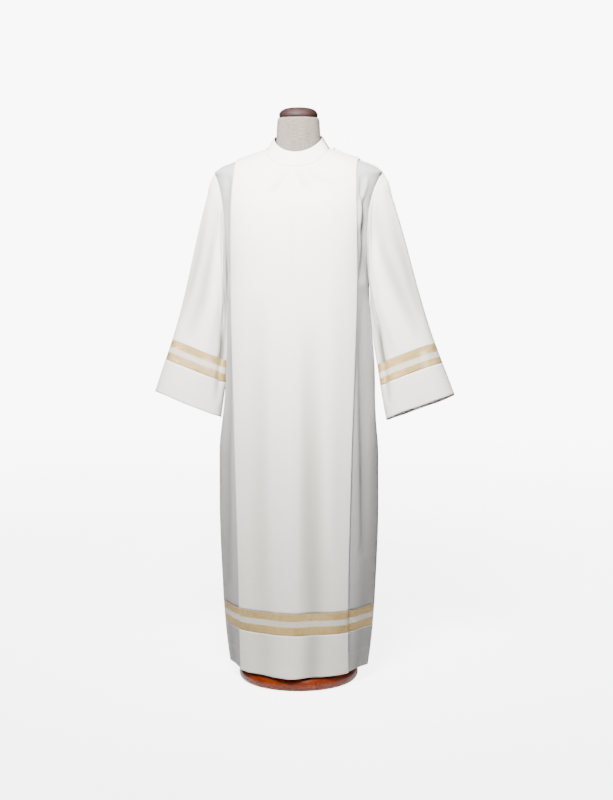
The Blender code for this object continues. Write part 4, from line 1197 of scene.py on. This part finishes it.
def buildSleeve(values):
    name, side, rise = values["name"], values["side"], sleeveShape["bandRise"]
    bandDepth, rimDown, seam = sleeveShape["bandDepth"], sleeveShape["bandAboveRim"], sleeveShape["seam"]
    turn = 2 * np.pi * np.arange(sleeveShape["turns"]) / sleeveShape["turns"]
    share = 1 - (1 - np.linspace(0, 1, sleeveShape["upperRows"] + 1)) ** sleeveShape["rowPower"]
    points = upperSleeve(values, turn, share)
    points[-1] = lowerSleeve(values, turn, np.array([-rise]))[0]
    down = share * (sleeveShape["upperLength"] - rise)
    points, pressed = pressSleeve(values, points, turn, down)
    # Painted shade: grey on the head toward the armhole, darker in the creases.
    around = np.minimum(turn, 2 * np.pi - turn)
    recess = (1 - ease(down / sleeveShape["recessDown"]))[:, None] * ease(around - sleeveShape["recessFrom"])
    # Painted shade: a broad darker band along the sleeve's inner edge, beside the body.
    inner = np.exp(-(((around - sleeveShape["innerTurn"]) / sleeveShape["innerSpread"]) ** 2))
    inner = sleeveShape["innerShade"] * inner * ease(down / sleeveShape["innerFade"])[:, None]
    shades = {"hollow": pressed / sleeveShape["creaseShadeFullAt"] + inner, "recess": recess}
    upper = clothMesh(f"alb_sleeve_{name}", points, ivoryCloth, sleeveShape["wall"], closed=True, **shades)
    standFor(upper, f"sleeve_{name}")

    def lowerGrid(below):
        return pressSleeve(values, lowerSleeve(values, turn, below), turn, sleeveShape["upperLength"] + below, False)

    points, _ = lowerGrid(np.linspace(seam, bandDepth - seam, openwork["rows"] + 1) - rise)
    names = (f"alb_sleeve_{name}_openwork", f"sleeve_band_{name}", f"alb_sleeve_{name}")
    buildNet(names[0], points, [], True, None, *names[1:])
    below = np.linspace(bandDepth - rise, rimDown, sleeveShape["cuffRows"])
    points, pressed = lowerGrid(below)
    low = ease((below - bandDepth) / (rimDown - bandDepth))[:, None]
    points[:, :, 2] += low * sleeveShape["waver"] * (np.sin(3 * turn + side) + 0.6 * np.sin(7 * turn))
    # Painted shade: darker in the cuff's creases.
    hollow = pressed / sleeveShape["creaseShadeFullAt"]
    cuff = clothMesh(f"alb_cuff_{name}", points, ivoryCloth, sleeveShape["cuffWall"], closed=True, hollow=hollow)
    standFor(cuff, f"cuff_{name}")
    row = int(np.abs(rimDown - below - sleeveShape["stitchAboveRim"]).argmin())
    toward = points - points.mean(axis=1, keepdims=True)
    lift = sleeveShape["cuffWall"] / 2
    sewn = sewSeam(f"alb_cuff_{name}_stitches", points, row, lift, toward, closed=True)


for sleeve in (rightSleeve, leftSleeve):
    buildSleeve(sleeve)
print("sleeves, their openwork and cuffs made")


collarShape = {
    "halfWidth": 0.0705,
    "front": 0.068,
    "back": 0.064,
    "frontTop": 1.548,
    "sideTop": 1.592,
    "backTop": 1.609,
    "wall": 0.0018,
    "seamStep": 0.0006,
    "topPower": 1.3,
    "rows": 18,
    "stitchRow": 13,
}


def necklineRing():
    points = []
    for facing, signs in ((1, (1, -1)), (-1, (-1, 1))):
        for sign in signs:
            order = halfColumns(panelCells)[: panelCells["neck"] + 1]
            if sign == signs[0]:
                order = order[::-1]
            for column in order:
                height = np.array([columnTop(column, facing)[1]])
                point = hungColumn(column, sign, facing, height, np.zeros(1), [], ())[0][0]
                if not points or np.linalg.norm(point - points[-1]) > 2 * bodyShape["sideGap"]:
                    points.append(point)
    return np.array(points)


def buildCollar(values):
    low = necklineRing()
    turn = np.arctan2(low[:, 0] / neckShape["halfWidth"], -low[:, 1] / values["back"])
    reach = np.where(low[:, 1] < 0, values["front"], values["back"])
    frontness = np.cos(turn)
    farTop = np.where(frontness > 0, values["frontTop"], values["backTop"])
    topHeight = mix(values["sideTop"], farTop, np.abs(frontness) ** values["topPower"])
    top = np.stack([values["halfWidth"] * np.sin(turn), -reach * frontness, topHeight], axis=-1)
    for end in (0, -1):
        top[end, 1] = math.copysign(values["wall"] / 2, low[end, 1])
        low[end, 1] = math.copysign(values["wall"] / 2, low[end, 1])
    start = low + unit(top - low) * values["seamStep"]
    share = np.linspace(1, 0, values["rows"])[:, None, None]
    points = start + (top - start) * share
    collar = clothMesh("alb_collar", points, ivoryCloth, values["wall"], outward=(0, 1, 0))
    standFor(collar, "collar")
    sewn = sewSeam("alb_collar_stitches", points, values["stitchRow"], values["wall"] / 2, points * (1, 1, 0))


buildCollar(collarShape)
print("collar made and sewn")


# A strip's shares run along the shoulder over the centre panel, then over the side panel, clear of the folds.
shoulderZip = {
    "weltWall": 0.0014,
    "inner": 0.07,
    "outer": 0.36,
    "overPanel": (0.0625, 1.0),
    "overSide": (0.04, 0.8),
    "stepDown": 0.2,
    "cells": 30,
    "chainHalfWidth": 0.0013,
    "lift": 0.0020,
    "chainWall": 0.0011,
    "secondRow": (1 - math.cos(math.pi / 12)) / 2,
    "rows": 7,
    "toothDip": 0.0001,
}


def shoulderStrip(facing, shares, values):
    columns = [("shoulder", share, 2.0) for share in np.linspace(*values["overPanel"], values["cells"])]
    for share in np.linspace(*values["overSide"], values["cells"]):
        columns.append(("side", share, 2.0 * max(0.0, 1 - share / values["stepDown"])))
    rows = []
    for column in columns:
        across, height = columnTop(column, facing)
        heights = np.array([height, mix(height, bodyShape["armpit"], values["secondRow"])])
        ends = hungColumn(column, 1, facing, heights, np.array([0.0, values["secondRow"]]), [], ())[0]
        _, outward = bodyFrame(facing, np.array([across]), np.array([height]))
        rows.append([mix(ends[0], ends[1], share) + outward[0] * values["lift"] for share in shares])
    return np.array(rows).transpose(1, 0, 2)


def buildZip(values):
    made = {"front": [], "back": []}
    up = (0, 0, 1)
    for facing, label, _ in panels:
        shares = np.linspace(values["inner"], values["outer"], values["rows"])
        points = shoulderStrip(facing, shares, values)
        welt = clothMesh(f"zip_{label}_welt", points, ivoryCloth, values["weltWall"], outward=up)
        standFor(welt, f"zip_welt_{label}")
        sewn = sewSeam(f"zip_{label}_stitches", points, values["rows"] - 2, values["weltWall"] / 2, up)
        made[label] += [welt, sewn]
    ridge = shoulderStrip(1, [0.0], values)[0]
    edges = np.linspace(-values["chainHalfWidth"], values["chainHalfWidth"], 5)
    points = np.stack([ridge * (1, 0, 1) + (0, y, 0) for y in edges])
    chain = clothMesh("zip_tape", points, zipTape, values["chainWall"], outward=up)
    standFor(chain, "zip_chain")
    teeth = sewSeam("zip_teeth", points, 2, values["chainWall"] / 2 - values["toothDip"], up, asTeeth=True)
    made["front"] += [chain, teeth]
    return made


zipPieces = buildZip(shoulderZip)
for template in (threadStitch, zipTooth):
    bpy.data.objects.remove(template, do_unlink=True)
print("shoulder zip made")


dressForm = {
    "height": (0.730, 0.738, 0.765, 0.860, 0.980, 1.080, 1.200, 1.300, 1.380, 1.430, 1.470, 1.490,
               1.502, 1.511, 1.520, 1.531, 1.541, 1.551, 1.566, 1.590, 1.620, 1.648),
    "halfWidth": (0.110, 0.140, 0.160, 0.172, 0.158, 0.148, 0.160, 0.172, 0.180, 0.190, 0.204, 0.212,
                  0.2125, 0.2060, 0.1870, 0.1570, 0.1270, 0.0950, 0.0660, 0.0640, 0.0625, 0.0600),
    "front": (0.078, 0.100, 0.115, 0.122, 0.110, 0.104, 0.112, 0.119, 0.114, 0.100, 0.084, 0.076,
              0.069, 0.066, 0.064, 0.062, 0.061, 0.060, 0.059, 0.059, 0.059, 0.059),
    "back": (0.084, 0.106, 0.122, 0.130, 0.116, 0.106, 0.112, 0.117, 0.117, 0.110, 0.098, 0.091,
             0.082, 0.076, 0.072, 0.067, 0.065, 0.063, 0.060, 0.059, 0.059, 0.059),
    "roundness": (2.0, 2.1, 2.2, 2.2, 2.2, 2.2, 2.3, 2.3, 2.3, 2.3, 2.2, 2.2,
                  1.9, 1.8, 1.6, 1.5, 1.5, 1.6, 2.0, 2.0, 2.0, 2.0),
    "sides": 112,
    "rows": 120,
    "neckEdge": 0.006,
    "hipEdge": 0.745,
    "hipRows": 6,
    "edgeRows": 7,
    "underCloth": 0.985,
    "belowShoulder": 0.0015,
}


# A closed solid through rings listed from the bottom up, with weave UVs in metres.
def solidOfRings(name, rings, material):
    rows, count = rings.shape[:2]
    mesh = bpy.data.meshes.new(name)
    index = np.arange(rows * count).reshape(rows, count)
    after = np.roll(index, -1, axis=1)
    quads = np.stack([index[:-1], after[:-1], after[1:], index[1:]], axis=-1).reshape(-1, 4)
    faces = [*quads.tolist(), index[0][::-1].tolist(), index[-1].tolist()]
    mesh.from_pydata(rings.reshape(-1, 3).tolist(), [], faces)
    girth = np.linalg.norm(rings - np.roll(rings, 1, axis=1), axis=2).sum(axis=1).mean()
    climb = np.linalg.norm(np.diff(rings, axis=0), axis=2).mean(axis=1)
    mapV = np.concatenate([[0.0], np.cumsum(climb)])
    row, column = np.divmod(np.arange((rows - 1) * count), count)
    mapU = np.stack([column, column + 1, column + 1, column], axis=-1) * girth / count
    uv = np.stack([mapU, mapV[np.stack([row, row, row + 1, row + 1], axis=-1)]], axis=-1).reshape(-1, 2)
    flat = rings[[0, -1], :, :2].copy()
    flat[0] = flat[0, ::-1]
    layer = mesh.uv_layers.new(name="weaveMap")
    layer.data.foreach_set("uv", np.concatenate([uv, flat.reshape(-1, 2)]).astype(np.float32).ravel())
    mesh.shade_smooth()
    mesh.materials.append(material)
    return addObject(name, mesh)


def formRing(values, height, turn):
    across, front, back, roundness = (
        float(readShape(values, column, height)) for column in ("halfWidth", "front", "back", "roundness")
    )
    if bodyShape["shoulderTip"] < height < ridgeHeight(neckShape["halfWidth"]):
        shoulder = float(readShape(bodyShape, "halfWidth", height + values["belowShoulder"]))
        across = min(across, values["underCloth"] * shoulder)
    reach = np.where(np.sin(turn) > 0, back, front)
    x = across * signedPower(np.cos(turn), 2 / roundness)
    return np.stack([x, reach * signedPower(np.sin(turn), 2 / roundness), 0 * turn + height], axis=-1)


def buildForm(values):
    low, high, edge = values["height"][0], values["height"][-1], values["neckEdge"]
    heights = np.linspace(low, high - edge, values["rows"])
    heights = np.unique(np.concatenate([heights, np.linspace(low, values["hipEdge"], values["hipRows"])]))
    turn = 2 * np.pi * np.arange(values["sides"]) / values["sides"]
    rings = [formRing(values, height, turn) for height in heights]
    outline = rings[-1]
    for turnIn in np.linspace(0.0, math.pi / 2, values["edgeRows"])[1:]:
        inset = edge * (1 - math.cos(turnIn))
        shrink = 1 - inset / np.linalg.norm(outline[:, :2], axis=1, keepdims=True)
        scale = np.concatenate([shrink, shrink, np.ones_like(shrink)], axis=1)
        rings.append(outline * scale + np.array([0.0, 0.0, edge * math.sin(turnIn)]))
    form = solidOfRings("linen_form", np.array(rings), beigeLinen)
    standFor(form, "form_torso")


# The wooden and steel parts: outlines of (radius, height), from the bottom up.
baseShape = {"radius": 0.159, "halfHeight": 0.020, "bulge": 0.018, "flat": 0.02, "steps": 25}
poleProfile = [(0.0125, 0.0403), (0.0125, 0.7297)]
capProfile = [
    (0.0530, 1.6483), (0.0555, 1.6500), (0.0560, 1.6540), (0.0563, 1.6580), (0.0553, 1.6612), (0.0530, 1.6650),
    (0.0490, 1.6690), (0.0430, 1.6727), (0.0350, 1.6754), (0.0240, 1.6771), (0.0120, 1.6778), (0.0040, 1.6780),
]


def baseProfile(values):
    high, flat = values["halfHeight"], values["flat"]
    turns = np.linspace(-math.pi / 2, math.pi / 2, values["steps"])
    edge = [(values["radius"] + values["bulge"] * math.cos(t), high + high * math.sin(t)) for t in turns]
    return [(flat, 0.0), *edge, (flat, 2 * high)]


def buildTurned(name, profile, material, node, sides=128):
    turn = 2 * np.pi * np.arange(sides) / sides
    rings = [np.stack([radius * np.cos(turn), radius * np.sin(turn), 0 * turn + high], -1) for radius, high in profile]
    standFor(solidOfRings(name, np.array(rings), material), node)


buildForm(dressForm)
buildTurned("turned_base", baseProfile(baseShape), mahogany, "stand_base")
buildTurned("turned_cap", capProfile, darkWood, "neck_cap")
buildTurned("steel_pole", poleProfile, steel, "stand_pole", 48)
print("form, cap, pole and base made")

for nodeName in ("zip_slider", "zip_pull"):
    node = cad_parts[nodeName]
    node.data.materials.clear()
    node.data.materials.append(nickel)
